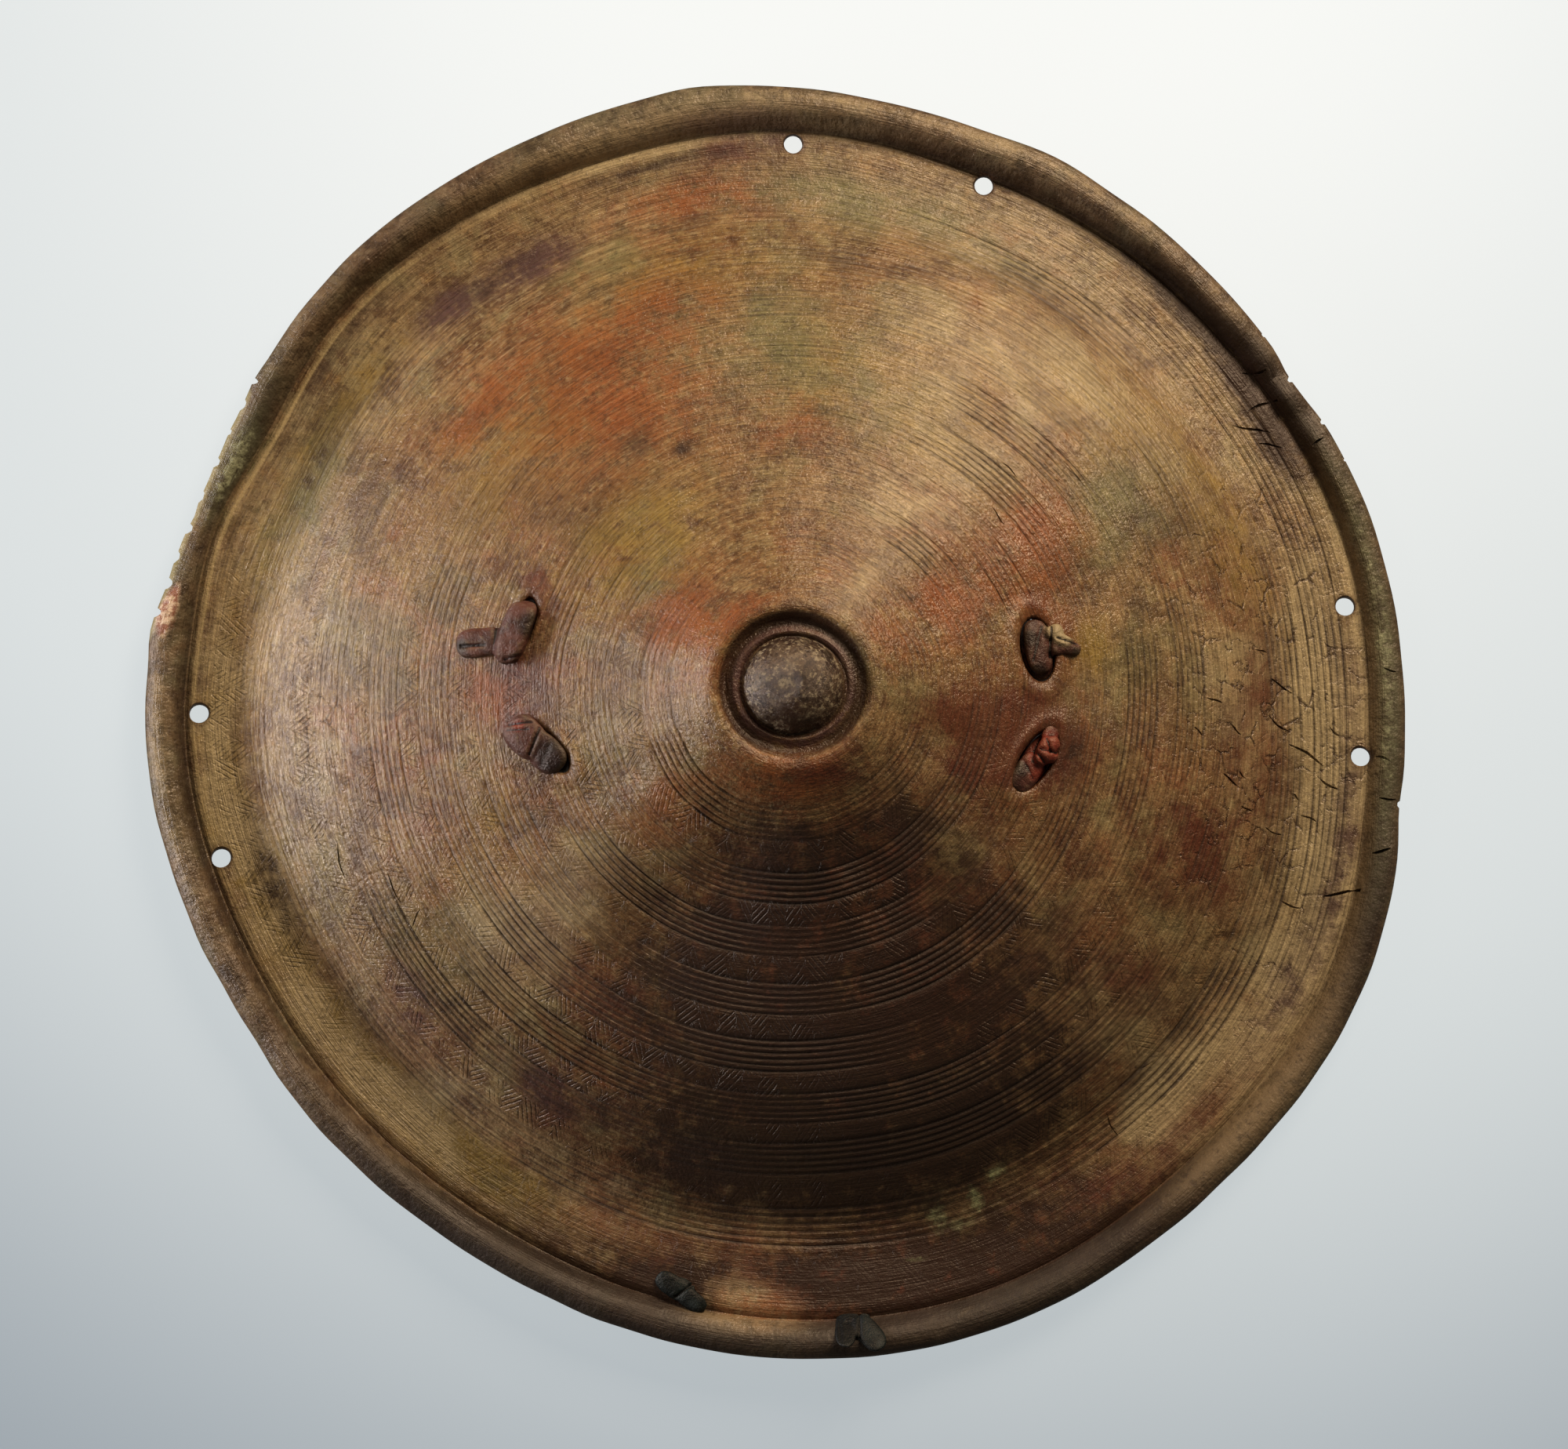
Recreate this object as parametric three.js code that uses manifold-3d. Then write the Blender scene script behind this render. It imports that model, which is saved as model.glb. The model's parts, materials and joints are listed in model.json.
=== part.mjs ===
// Round hide shield of the Horn of Africa kind, lying on its rim with the boss up.
// Millimetres, +Z up. The origin is the middle of its bounding box, at the surface it lies on.
// One thick hide is moulded into a boss, a moat, a cone, a flange and a rolled lip.
// A hide grip crosses the hollow inside and its four ends come out through slots in the cone.
// A short dark thong is knotted through two slots at the lower edge.
import * as THREE from 'three';
import { mergeVertices } from 'three/addons/utils/BufferGeometryUtils.js';
import Module from 'manifold-3d';

const wasm = await Module();
wasm.setup();

// ---- driving dimensions ----
const meanRadius = 224.3;        // mean radius of the outline about the boss
const hide = 5;                  // thickness of the hide
const flangeHeight = 6.5;        // front of the flat flange above the table
const flangeRadius = 207;        // where the cone's slope has died out
const bossAxis = { x: 3.1, y: 0.8 };   // the boss stands a little off the middle
const gap = 0.3;                 // air between pieces that touch
const turns = 72;                // facets round the shield
const rad = THREE.MathUtils.degToRad;

// Slope of the cone in degrees at a few radii: steep by the boss, easy in the middle, steep again
// at the shoulder, nearly level on the flange.
const coneSlopes = [[28, 37], [45, 34], [65, 26], [92, 20], [120, 23], [142, 29], [160, 38], [170, 43.5],
  [178, 40], [186, 20], [194, 6], [207, 3]];

// The outline isn't a circle: [lobes, swell in mm, direction of the swell in degrees].
const lobes = [[1, 1.35, -113.7], [2, 3.4, -59.3], [3, 0.98, -52.8], [4, 1.26, 7.7], [5, 0.77, -27.6],
  [7, 0.59, -25.2], [8, 0.37, 7.3], [9, 0.63, 16.6]];
// Bumps and losses on the edge: [direction, mm out or in, half width in degrees].
const edgeMarks = [[33, -1.6, 3], [64.5, 1.5, 4], [98, 1.2, 4], [159, -2.2, 7], [172, 1.6, 3], [211, -1, 5],
  [351, -1.4, 3]];

const tornLip = { at: 160, half: 12, left: 0.45 };    // a stretch of lip is torn off: share left standing
const slackLip = { at: 308, half: 30, left: 0.75 };   // here the roll is slack and low
const lift = { at: 268, half: 18, mm: 5 };            // the warped edge stands off the table here

// Six lacing holes near the edge: [distance from the boss axis, direction].
const laceHole = { radius: 3.5, at: [[206.2, 89.1], [204.3, 69.4], [204, 10.9], [205.8, -4.3], [208.5, 180],
  [206.8, 194.4]] };

// The grip's four ends: place, the slot's length, width and turn, and what shows of the strap in front.
const gripEnds = [
  { x: -92.2, y: 25.2, long: 19, wide: 7, turn: 73,
    lumps: [{ x: -95.4, y: 23, long: 22.5, wide: 12.5, high: 5, turn: 72 },
      { x: -107.5, y: 19.2, long: 17, wide: 9.5, high: 3, turn: 4 }] },
  { x: -84.2, y: -18.6, long: 21, wide: 8.5, turn: -47,
    lumps: [{ x: -87.6, y: -16.6, long: 24, wide: 14, high: 4.5, turn: -47 }] },
  { x: 85.6, y: 16, long: 22.5, wide: 12, turn: 99,
    lumps: [{ x: 94.8, y: 19, long: 11, wide: 8, high: 3, turn: -20 }] },
  { x: 84.6, y: -22.6, long: 23.5, wide: 10.5, turn: 59,
    lumps: [{ x: 88.6, y: -19.4, long: 11, wide: 9, high: 5, turn: 65 }] },
];
const grip = { halfSpan: 87, halfSpread: 20.6, top: 52, thick: 5, halfWidth: 18, lobe: 13.5, sag: 3,
  turn: -2.6, midX: -3.2, midY: -0.6 };

// The thong's two ends near the lower edge.
const thongEnds = [
  { x: -38.3, y: -204.2, long: 14, wide: 6.5, turn: -25,
    lumps: [{ x: -40.5, y: -203.5, long: 15, wide: 6.5, high: 2.8, turn: -32 },
      { x: -34.5, y: -206.5, long: 11, wide: 6.5, high: 3.6, turn: -55 }] },
  { x: 24.6, y: -217.2, long: 12, wide: 6, turn: -20,
    lumps: [{ x: 22, y: -215.5, long: 14, wide: 7, high: 2.8, turn: -60 },
      { x: 29, y: -218.5, long: 13, wide: 8, high: 3.4, turn: -35 }] },
];
const thong = { wide: 9, bottom: 1, thick: 2.4 };

// ---- small helpers ----
const smooth = (low, high, v) => THREE.MathUtils.smoothstep(v, low, high);

// 1 at a direction, falling to 0 either side of it.
function hump(direction, at, half) {
  const away = Math.abs(THREE.MathUtils.euclideanModulo(direction - at + 180, 360) - 180);
  return Math.exp(-((away / half) ** 2));
}

// Reads a value out of a list of [place, value] pairs.
function between(table, place) {
  const next = table.findIndex(([p]) => p >= place);
  if (next <= 0) return table.at(next).at(1);
  const [[p0, v0], [p1, v1]] = [table[next - 1], table[next]];
  return v0 + ((v1 - v0) * (place - p0)) / (p1 - p0);
}

// Front of the cone at a radius: the slope added up from the flange inwards.
function coneHeight(radius) {
  const step = 0.5;
  let height = flangeHeight;
  for (let r = flangeRadius - step / 2; r > radius; r -= step) {
    height += step * Math.tan(rad(between(coneSlopes, r)));
  }
  return height;
}

function edgeRadius(direction) {
  const swell = lobes.reduce((sum, [n, mm, at]) => sum + mm * Math.cos(n * rad(direction - at)), 0);
  const marks = edgeMarks.reduce((sum, [at, mm, half]) => sum + mm * hump(direction, at, half), 0);
  return meanRadius + swell + marks;
}

// A closed geometry as a manifold-3d solid.
function toSolid(geometry) {
  const bare = geometry.clone();
  bare.deleteAttribute('normal');
  bare.deleteAttribute('uv');
  const merged = mergeVertices(bare, 1e-3);
  const corners = merged.index.array;
  const kept = [];
  for (let i = 0; i < corners.length; i += 3) {
    const [a, b, c] = [corners[i], corners[i + 1], corners[i + 2]];
    if (a !== b && b !== c && c !== a) kept.push(a, b, c);
  }
  const vertProperties = new Float32Array(merged.attributes.position.array);
  const triVerts = new Uint32Array(kept);
  return new wasm.Manifold(new wasm.Mesh({ numProp: 3, vertProperties, triVerts }));
}

function toMesh(name, solid, look) {
  const { vertProperties, triVerts } = solid.getMesh();
  const geometry = new THREE.BufferGeometry();
  geometry.setAttribute('position', new THREE.BufferAttribute(vertProperties, 3));
  geometry.setIndex(new THREE.BufferAttribute(triVerts, 1));
  geometry.computeVertexNormals();
  const mesh = new THREE.Mesh(geometry, new THREE.MeshStandardMaterial(look));
  mesh.name = name;
  mesh.position.set(bossAxis.x, bossAxis.y, 0);
  return mesh;
}

const joinAll = (solids) => solids.reduce((whole, next) => whole.add(next));

// ---- the hide ----
// The front from the boss to the rim, in mean radius and height.
const coneStations = [36, 45, 56, 70, 88, 107, 126, 142, 155, 165, 174, 181, 187, 196];
function frontProfile() {
  const boss = [[0, 106.2], [6, 105.4], [11.4, 102.7], [15.4, 98.8], [17.6, 95.2]];
  const moat = [[22.6, 94.2], [27, 98], [31.5, 96.3]];
  const cone = coneStations.map((r) => [r, coneHeight(r)]);
  const crease = [[206, 6.4], [210, 5.4]];
  const lip = [[212.6, 8.6], [215, 13], [218.3, 14.8], [221.8, 13.8], [meanRadius, 11]];
  return [...boss, ...moat, ...cone, ...crease, ...lip];
}

// The back from under the lip to the middle: the cone again, one hide thickness inside.
function backProfile() {
  const underLip = [[223.2, 7.4], [219.6, 4.6], [216, 1.4], [213.4, 0], [207.6, 0], [203, 1.5], [194, 2.6]];
  const cone = coneStations.slice(0, -3).filter((r, i) => i % 2 === 0 || r > 150).reverse().map((r) => {
    const slope = rad(between(coneSlopes, r));
    return [r - hide * Math.sin(slope), coneHeight(r) - hide * Math.cos(slope)];
  });
  const boss = [[27.5, 91], [22.5, 89.2], [17, 90.6], [13, 95.4], [7, 99.2], [0, 100.4]];
  return [...underLip, ...cone, ...boss];
}

// Everything outside the cone's shoulder follows the real outline; the lip also varies in height.
function warp(radius, direction, height) {
  const follow = smooth(150, 204, radius);
  const torn = 1 - (1 - tornLip.left) * hump(direction, tornLip.at, tornLip.half);
  const slack = 1 - (1 - slackLip.left) * hump(direction, slackLip.at, slackLip.half);
  const lipShare = smooth(210, 213, radius) * smooth(6, 10, height);
  const lipHeight = height - lipShare * (height - 6) * (1 - torn * slack);
  const lifted = lift.mm * hump(direction, lift.at, lift.half) * smooth(165, 200, radius);
  return { radius: radius + follow * (edgeRadius(direction) - meanRadius), height: lipHeight + lifted };
}

function hideBlank(grow) {
  const outline = [...frontProfile(), ...backProfile()];
  const grown = outline.map(([r, z], i) => {
    if (grow === 0) return [r, z];
    const [r0, z0] = outline[Math.max(i - 1, 0)];
    const [r1, z1] = outline[Math.min(i + 1, outline.length - 1)];
    const length = Math.hypot(r1 - r0, z1 - z0);
    const out = [-(z1 - z0) / length, (r1 - r0) / length];
    return [r === 0 ? 0 : r + grow * out[0], z + grow * out[1]];
  });
  const points = grown.reverse().map(([r, z]) => new THREE.Vector2(r, z));
  const lathe = new THREE.LatheGeometry(points, turns);
  const place = lathe.attributes.position;
  for (let i = 0; i < place.count; i += 1) {
    // a lathe stands on Y, the shield on Z
    const [x, y] = [place.getZ(i), place.getX(i)];
    const angle = Math.atan2(y, x);
    const moved = warp(Math.hypot(x, y), THREE.MathUtils.radToDeg(angle), place.getY(i));
    place.setXYZ(i, moved.radius * Math.cos(angle), moved.radius * Math.sin(angle), moved.height);
  }
  return toSolid(lathe);
}

// An upright column with an oval section.
function ovalColumn({ x, y, long, wide, turn }, grow, low, high) {
  const column = new THREE.CylinderGeometry(1, 1, high - low, 12);
  column.rotateX(Math.PI / 2);
  column.scale(long / 2 + grow, wide / 2 + grow, 1);
  column.rotateZ(rad(turn));
  column.translate(x, y, (low + high) / 2);
  return toSolid(column);
}

function laceHoles() {
  return laceHole.at.map(([distance, direction]) => {
    const hole = new THREE.CylinderGeometry(laceHole.radius, laceHole.radius, 40, 10);
    hole.rotateX(Math.PI / 2);
    hole.translate(distance * Math.cos(rad(direction)), distance * Math.sin(rad(direction)), 5);
    return toSolid(hole);
  });
}

function shellPiece() {
  const slots = [...gripEnds, ...thongEnds].map((end) => ovalColumn(end, gap, -20, 120));
  return hideBlank(0).subtract(joinAll([...slots, ...laceHoles()]));
}

// ---- the knotted ends in front ----
// Height of the hide's front under a point, for what lies on it.
function frontHeight(x, y) {
  const direction = THREE.MathUtils.radToDeg(Math.atan2(y, x));
  const mean = Math.hypot(x, y) - smooth(150, 204, Math.hypot(x, y)) * (edgeRadius(direction) - meanRadius);
  return warp(mean, direction, between(frontProfile(), mean)).height;
}

// A rounded lump of folded hide that lies on the cone along its slope.
function lump({ x, y, long, wide, high, turn }) {
  const bean = new THREE.SphereGeometry(1, 12, 7);
  bean.rotateX(Math.PI / 2);
  bean.scale(long / 2, wide / 2, high);
  bean.rotateZ(rad(turn));
  const reach = 4;
  const place = bean.attributes.position;
  const slopeX = (frontHeight(x + reach, y) - frontHeight(x - reach, y)) / (2 * reach);
  const slopeY = (frontHeight(x, y + reach) - frontHeight(x, y - reach)) / (2 * reach);
  for (let i = 0; i < place.count; i += 1) {
    place.setZ(i, place.getZ(i) + slopeX * place.getX(i) + slopeY * place.getY(i));
  }
  bean.translate(x, y, frontHeight(x, y) + 0.2);
  return toSolid(bean);
}

function frontOf(ends, hideGrown) {
  return ends.flatMap((end) => end.lumps).map((one) => lump(one).subtract(hideGrown));
}

// ---- the grip across the hollow ----
// A strap that widens to both ends, each split by a notch into two arms with a rounded lobe at its slot.
function gripBand() {
  const { halfSpan, halfSpread, halfWidth, lobe, thick, top } = grip;
  const endWidth = halfSpread + lobe - 1;
  const strap = new THREE.BoxGeometry(2 * halfSpan, 2, thick, 16, 1, 1);
  const place = strap.attributes.position;
  for (let i = 0; i < place.count; i += 1) {
    const along = Math.abs(place.getX(i));
    // level in the middle for the hand, level again at the slots
    const sag = grip.sag * (1 - smooth(24, 62, along));
    place.setY(i, place.getY(i) * (halfWidth + (endWidth - halfWidth) * smooth(20, halfSpan, along)));
    place.setZ(i, place.getZ(i) + top - thick / 2 - sag);
  }
  let band = toSolid(strap);
  for (const side of [-1, 1]) {
    const arms = [-1, 1].map((up) => ovalColumn({ x: side * halfSpan, y: up * halfSpread, long: 2 * lobe,
      wide: 2 * lobe, turn: 0 }, 0, top - thick, top));
    const notch = ovalColumn({ x: side * (halfSpan + 4), y: 0, long: 60, wide: 2 * (halfSpread - lobe + 2),
      turn: 0 }, 0, 0, top + 20);
    band = band.add(joinAll(arms)).subtract(notch);
  }
  return band;
}

// Turns a solid about Z and shifts it.
function placed(solid, turn, x, y) {
  const { vertProperties, triVerts } = solid.getMesh();
  const geometry = new THREE.BufferGeometry();
  geometry.setAttribute('position', new THREE.BufferAttribute(vertProperties, 3));
  geometry.setIndex(new THREE.BufferAttribute(triVerts, 1));
  geometry.rotateZ(rad(turn));
  geometry.translate(x, y, 0);
  return toSolid(geometry);
}

function gripPiece(hideGrown) {
  const bottom = grip.top - grip.thick;
  const legs = gripEnds.map((end) => ovalColumn(end, -gap, bottom, frontHeight(end.x, end.y) + 1));
  const band = placed(gripBand(), grip.turn, grip.midX, grip.midY);
  return joinAll([band, ...legs, ...frontOf(gripEnds, hideGrown)]);
}

// ---- the thong at the lower edge ----
function thongPiece(hideGrown) {
  const [from, to] = thongEnds;
  const half = Math.hypot(to.x - from.x, to.y - from.y) / 2;
  const turn = THREE.MathUtils.radToDeg(Math.atan2(to.y - from.y, to.x - from.x));
  const shape = new THREE.Shape();
  shape.absarc(half, 0, thong.wide / 2, -Math.PI / 2, Math.PI / 2);
  shape.absarc(-half, 0, thong.wide / 2, Math.PI / 2, Math.PI * 1.5);
  const size = { depth: thong.thick, bevelEnabled: false, curveSegments: 5 };
  const strip = new THREE.ExtrudeGeometry(shape, size);
  strip.translate(0, 0, thong.bottom);
  const run = placed(toSolid(strip), turn, (from.x + to.x) / 2, (from.y + to.y) / 2);
  const legs = thongEnds.map((end) => ovalColumn(end, -gap, thong.bottom, frontHeight(end.x, end.y) + 1));
  return joinAll([run, ...legs, ...frontOf(thongEnds, hideGrown)]);
}

const hideGrown = hideBlank(gap);
const group = new THREE.Group();
group.add(toMesh('hide_shell', shellPiece(), { color: 0x7a5436, roughness: 0.55, metalness: 0 }));
group.add(toMesh('grip_strap', gripPiece(hideGrown), { color: 0x4a3026, roughness: 0.5, metalness: 0 }));
group.add(toMesh('rim_thong', thongPiece(hideGrown), { color: 0x1f2422, roughness: 0.45, metalness: 0 }));

export default group;
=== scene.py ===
# %% [markdown]
# # A round hide shield
#
# This lesson finishes a round shield of thick moulded hide, the kind made in the Horn of Africa. The
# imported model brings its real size, its outline and its three pieces: the hide itself, the grip strap
# across the hollow inside, and a short dark thong at the lower edge. Here each piece is modelled again with
# the fine form that the eye looks for: turned grooves, hatching, a rolled lip, cracks and knots.
#
# Blender works in metres and the maker's sizes are in millimetres, so `MM` turns one into the other.

# %% Load the frame
import json
import math

import bmesh
import bpy
import numpy as np
from mathutils import Matrix, Vector

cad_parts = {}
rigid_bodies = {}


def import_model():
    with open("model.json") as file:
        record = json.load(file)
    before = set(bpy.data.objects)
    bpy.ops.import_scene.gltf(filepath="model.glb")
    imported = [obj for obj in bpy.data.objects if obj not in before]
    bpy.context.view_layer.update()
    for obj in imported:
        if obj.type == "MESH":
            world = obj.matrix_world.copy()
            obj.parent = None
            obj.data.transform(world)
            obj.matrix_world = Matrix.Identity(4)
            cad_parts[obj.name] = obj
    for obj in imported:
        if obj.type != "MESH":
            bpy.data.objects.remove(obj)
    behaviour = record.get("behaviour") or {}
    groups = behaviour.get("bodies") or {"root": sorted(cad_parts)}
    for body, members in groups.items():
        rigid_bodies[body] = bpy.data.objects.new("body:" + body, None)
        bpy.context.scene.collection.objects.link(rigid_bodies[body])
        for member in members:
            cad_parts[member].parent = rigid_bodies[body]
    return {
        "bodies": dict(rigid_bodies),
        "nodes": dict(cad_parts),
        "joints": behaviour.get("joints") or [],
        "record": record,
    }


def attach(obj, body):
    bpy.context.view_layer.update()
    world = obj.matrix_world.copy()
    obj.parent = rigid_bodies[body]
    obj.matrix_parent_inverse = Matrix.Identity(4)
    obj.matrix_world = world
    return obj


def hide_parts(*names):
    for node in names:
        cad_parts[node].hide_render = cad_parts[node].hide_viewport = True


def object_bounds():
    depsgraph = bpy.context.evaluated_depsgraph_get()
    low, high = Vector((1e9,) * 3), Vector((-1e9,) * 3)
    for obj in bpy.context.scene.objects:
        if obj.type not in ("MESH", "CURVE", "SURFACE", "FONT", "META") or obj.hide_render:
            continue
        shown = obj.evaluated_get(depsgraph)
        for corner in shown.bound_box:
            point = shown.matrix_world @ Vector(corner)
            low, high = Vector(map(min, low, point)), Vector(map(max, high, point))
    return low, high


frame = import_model()
cad_low, cad_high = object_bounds()
MM = 0.001
print("the packed model is", [round(v / MM) for v in cad_high - cad_low], "mm")

# %% [markdown]
# ## The camera
#
# The shield lies on its rim with the boss up and the camera looks almost straight down on it. A long lens
# from two metres keeps the outline nearly undistorted, so the tilt of about six degrees shows only in how
# the boss stands off the middle of the rings.

# %% Camera
VIEW_WIDTH = 556.6 * MM
VIEW_DISTANCE = 2.0
VIEW_TILT = math.radians(6.19)
VIEW_TURN = math.radians(-14.68)
middle = (cad_low + cad_high) / 2
view_target = Vector((middle.x + 2.3 * MM, middle.y - 3.6 * MM, cad_low.z + 10 * MM))

camera = bpy.data.objects.new("camera", bpy.data.cameras.new("camera"))
bpy.context.scene.collection.objects.link(camera)
bpy.context.scene.camera = camera
camera.data.lens = camera.data.sensor_width * VIEW_DISTANCE / VIEW_WIDTH
backward = Vector((
    math.sin(VIEW_TURN) * math.sin(VIEW_TILT),
    -math.cos(VIEW_TURN) * math.sin(VIEW_TILT),
    math.cos(VIEW_TILT),
))
rightward = (Vector((1, 0, 0)) - backward * backward.x).normalized()
turned = Matrix((rightward, backward.cross(rightward), backward)).transposed().to_4x4()
camera.matrix_world = Matrix.Translation(view_target + backward * VIEW_DISTANCE) @ turned
print("lens", round(camera.data.lens, 1), "mm")

# %% [markdown]
# ## The shield's own measures
#
# The hide was wetted, pressed over a form and turned up at the edge, so it is round only by intent. Its
# section (how high it stands at each distance from the boss) is the same all round, and its outline wanders
# by a few millimetres. Both are kept as a few driving numbers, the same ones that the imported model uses.
# Points of a section are (distance from the boss, height); the cone is given by its slope in degrees.

# %% Section and outline
BOSS_AXIS = Vector((middle.x / MM + 3.1, middle.y / MM + 0.8))
MEAN_RADIUS = 224.3
HIDE = 5.0
FLANGE_HEIGHT = 6.5
FLANGE_RADIUS = 207.0
CONE_SLOPES = [
    (28, 37), (45, 34), (65, 26), (92, 20), (120, 23), (142, 29), (160, 38), (170, 43.5), (178, 40),
    (186, 20), (194, 6), (207, 3),
]
BOSS_SECTION = [
    (0, 106.1), (3, 105.9), (6, 105.2), (8.8, 104.1), (11.2, 102.6), (13.3, 100.7), (15.1, 98.5),
    (16.5, 96.3), (17.2, 94.9), (17.7, 94.6), (18.3, 95.3), (19.3, 95.7), (20.3, 95.2), (21.3, 94.3),
    (22.6, 93.9), (23.9, 94.7), (25.0, 96.5), (26.0, 97.7), (27.2, 98.2), (29.2, 97.6), (31.5, 96.3),
]
RIM_SECTION = [
    (208.4, 6.1), (209.6, 5.6), (210.5, 5.0), (211.3, 5.6), (212.3, 8.0), (213.5, 10.8), (215, 13.0),
    (216.7, 14.3), (218.6, 14.7), (220.6, 14.3), (222.4, 13.2), (223.7, 11.6), (224.3, 9.9), (223.9, 8.2),
    (222.6, 6.7), (220.6, 5.2), (218.2, 3.3), (215.8, 1.4), (213.6, 0.2), (210.6, 0.05), (207.6, 0.15),
]
# The outline: waves to the turn, mm, direction of a crest; then single marks: direction, mm, half width.
LOBES = [
    (1, 1.35, -113.7), (2, 3.4, -59.3), (3, 0.98, -52.8), (4, 1.26, 7.7), (5, 0.77, -27.6),
    (7, 0.59, -25.2), (8, 0.37, 7.3), (9, 0.63, 16.6),
]
EDGE_MARKS = [
    (33, -1.6, 3), (64.5, 1.5, 4), (98, 1.2, 4), (147.4, 0.9, 0.7), (159, -0.8, 7), (172.5, 1.6, 2.5),
    (211, -1, 5), (351, -1.4, 3),
]
# The crease inside the lip comes nearer to the boss (minus) or keeps away: direction, mm, half width.
CREASE_SHIFTS = [
    (103, -3.4, 15), (68, -1.2, 12), (24, 2.2, 26), (139, 1.8, 9), (162, 4.2, 8),
]
# Where the lip has sunk: direction, half width, and how much of its height is left.
SUNK_LIP = [
    (160, 12, 0.45), (308, 30, 0.7), (14, 34, 0.6), (264, 9, 0.6), (102, 13, 0.66),
]
# Where the lower edge has warped upwards: direction, half width, mm.
LIFT = (268, 18, 5.0)


def ease(low, high, value):
    """0 below low, 1 above high, and a soft slope between."""
    t = np.clip((value - low) / (high - low), 0, 1)
    return t * t * (3 - 2 * t)


def hump(theta, at, half):
    """1 in one direction (degrees), falling to 0 on either side of it."""
    away = np.degrees(np.angle(np.exp(1j * (theta - math.radians(at)))))
    return np.exp(-((away / half) ** 2))


cone_radii = np.arange(28, FLANGE_RADIUS + 0.5, 0.5)
cone_slopes = np.tan(np.radians(np.interp(cone_radii, *zip(*CONE_SLOPES))))
cone_drop = np.concatenate([[0], np.cumsum((cone_slopes[1:] + cone_slopes[:-1]) / 4)])
cone_heights = FLANGE_HEIGHT + cone_drop[-1] - cone_drop


def cone_height(ring):
    """Height of the cone's front at a distance from the boss."""
    return np.interp(ring, cone_radii, cone_heights)


def edge_radius(theta):
    """How far the edge is from the boss in each direction."""
    return MEAN_RADIUS + sum(mm * np.cos(n * (theta - math.radians(at))) for n, mm, at in LOBES)


print("the cone stands", round(float(cone_height(28)), 1), "mm high; its edge is",
      np.round(edge_radius(np.radians([0, 90, 180, 270])), 1), "mm from the boss")

# %% [markdown]
# ## Turned grooves
#
# A comb with six teeth was drawn round and round the damp hide, which left nine bands of six fine grooves,
# the outermost of them only at the right. A groove about 2 mm wide needs at least four rings of mesh across
# it, or smooth shading would see only crests and bottoms, whose normals are alike, and show nothing. So the
# section gets its stations from the bands: four to a groove inside a band, and wide steps between bands.

# %% Stations along the section
COMB_TEETH = 6
# Middle of each band, and how far apart its grooves are.
BANDS = [
    (47, 2.0), (67.5, 2.0), (85, 2.0), (104.5, 2.1), (124, 2.1), (142, 2.0), (159, 2.0), (181, 2.35),
    (197.6, 2.2),
]
OUTERMOST = len(BANDS) - 1
GROOVE_DEPTH = 0.48
STEPS_TO_A_GROOVE = 4

front_rings = []
for band_middle, pitch in BANDS:
    inner = band_middle - pitch * COMB_TEETH / 2
    plain_from = front_rings[-1] if front_rings else BOSS_SECTION[-1][0]
    front_rings += list(np.linspace(plain_from, inner, 5)[1:-1])
    front_rings += [
        inner + pitch * step / STEPS_TO_A_GROOVE for step in range(STEPS_TO_A_GROOVE * COMB_TEETH + 1)
    ]
# the plain flange, up to the crease inside the lip
front_rings += [205.2, 206.2, 207.2]

back_rings = [200, 192, 186, 180, 174, 168, 160, 150, 138, 125, 110, 95, 80, 66, 54, 44, 36]
BACK_OF_BOSS = [
    (30, 90.6), (26, 90.4), (22.5, 89.2), (19.8, 89.4), (17, 90.8), (14.5, 93.7), (11.5, 96.6), (7, 99.3),
    (3.5, 100.2), (0, 100.4),
]


def under(ring):
    """The inside of the cone, one hide thickness behind the front."""
    slope = np.radians(np.interp(ring, *zip(*CONE_SLOPES)))
    return ring - HIDE * np.sin(slope), cone_height(ring) - HIDE * np.cos(slope)


section = BOSS_SECTION + [(r, float(cone_height(r))) for r in front_rings] + RIM_SECTION
section += [tuple(map(float, under(r))) for r in back_rings] + BACK_OF_BOSS
print(len(section), "stations,", len(front_rings), "of them on the front of the cone")

# %% [markdown]
# ## Spinning the section
#
# `bmesh.ops.spin` turns the section once round the boss axis. `use_merge` joins the last turn to the first,
# and the two ends of the section, which lie on the axis, are merged into single points. Normals are
# recalculated afterwards, because a spun section can come out facing inwards.

# %% Spin
TURNS = 292


def new_object(name, bm, smooth=True):
    """Turns a finished bmesh into a named object at the origin."""
    mesh = bpy.data.meshes.new(name)
    bm.to_mesh(mesh)
    bm.free()
    mesh.polygons.foreach_set("use_smooth", [smooth] * len(mesh.polygons))
    piece = bpy.data.objects.new(name, mesh)
    bpy.context.scene.collection.objects.link(piece)
    return piece


bm = bmesh.new()
stations = [bm.verts.new((r * MM, 0, z * MM)) for r, z in section]
for near, far in zip(stations, stations[1:]):
    bm.edges.new((near, far))
bmesh.ops.spin(
    bm, geom=bm.verts[:] + bm.edges[:], cent=(0, 0, 0), axis=(0, 0, 1), dvec=(0, 0, 0),
    angle=2 * math.pi, steps=TURNS, use_merge=True, use_duplicate=False,
)
bmesh.ops.remove_doubles(bm, verts=bm.verts[:], dist=0.005 * MM)
bmesh.ops.recalc_face_normals(bm, faces=bm.faces[:])
hide = new_object("moulded_hide", bm)
print(len(hide.data.vertices), "points,", len(hide.data.polygons), "faces")

# %% [markdown]
# ## Where things are on the hide
#
# The four slots of the grip, the two slots of the thong and the six lacing holes are named here once. A slot
# is an oval: its place from the boss axis, its length, width and turn.

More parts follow.
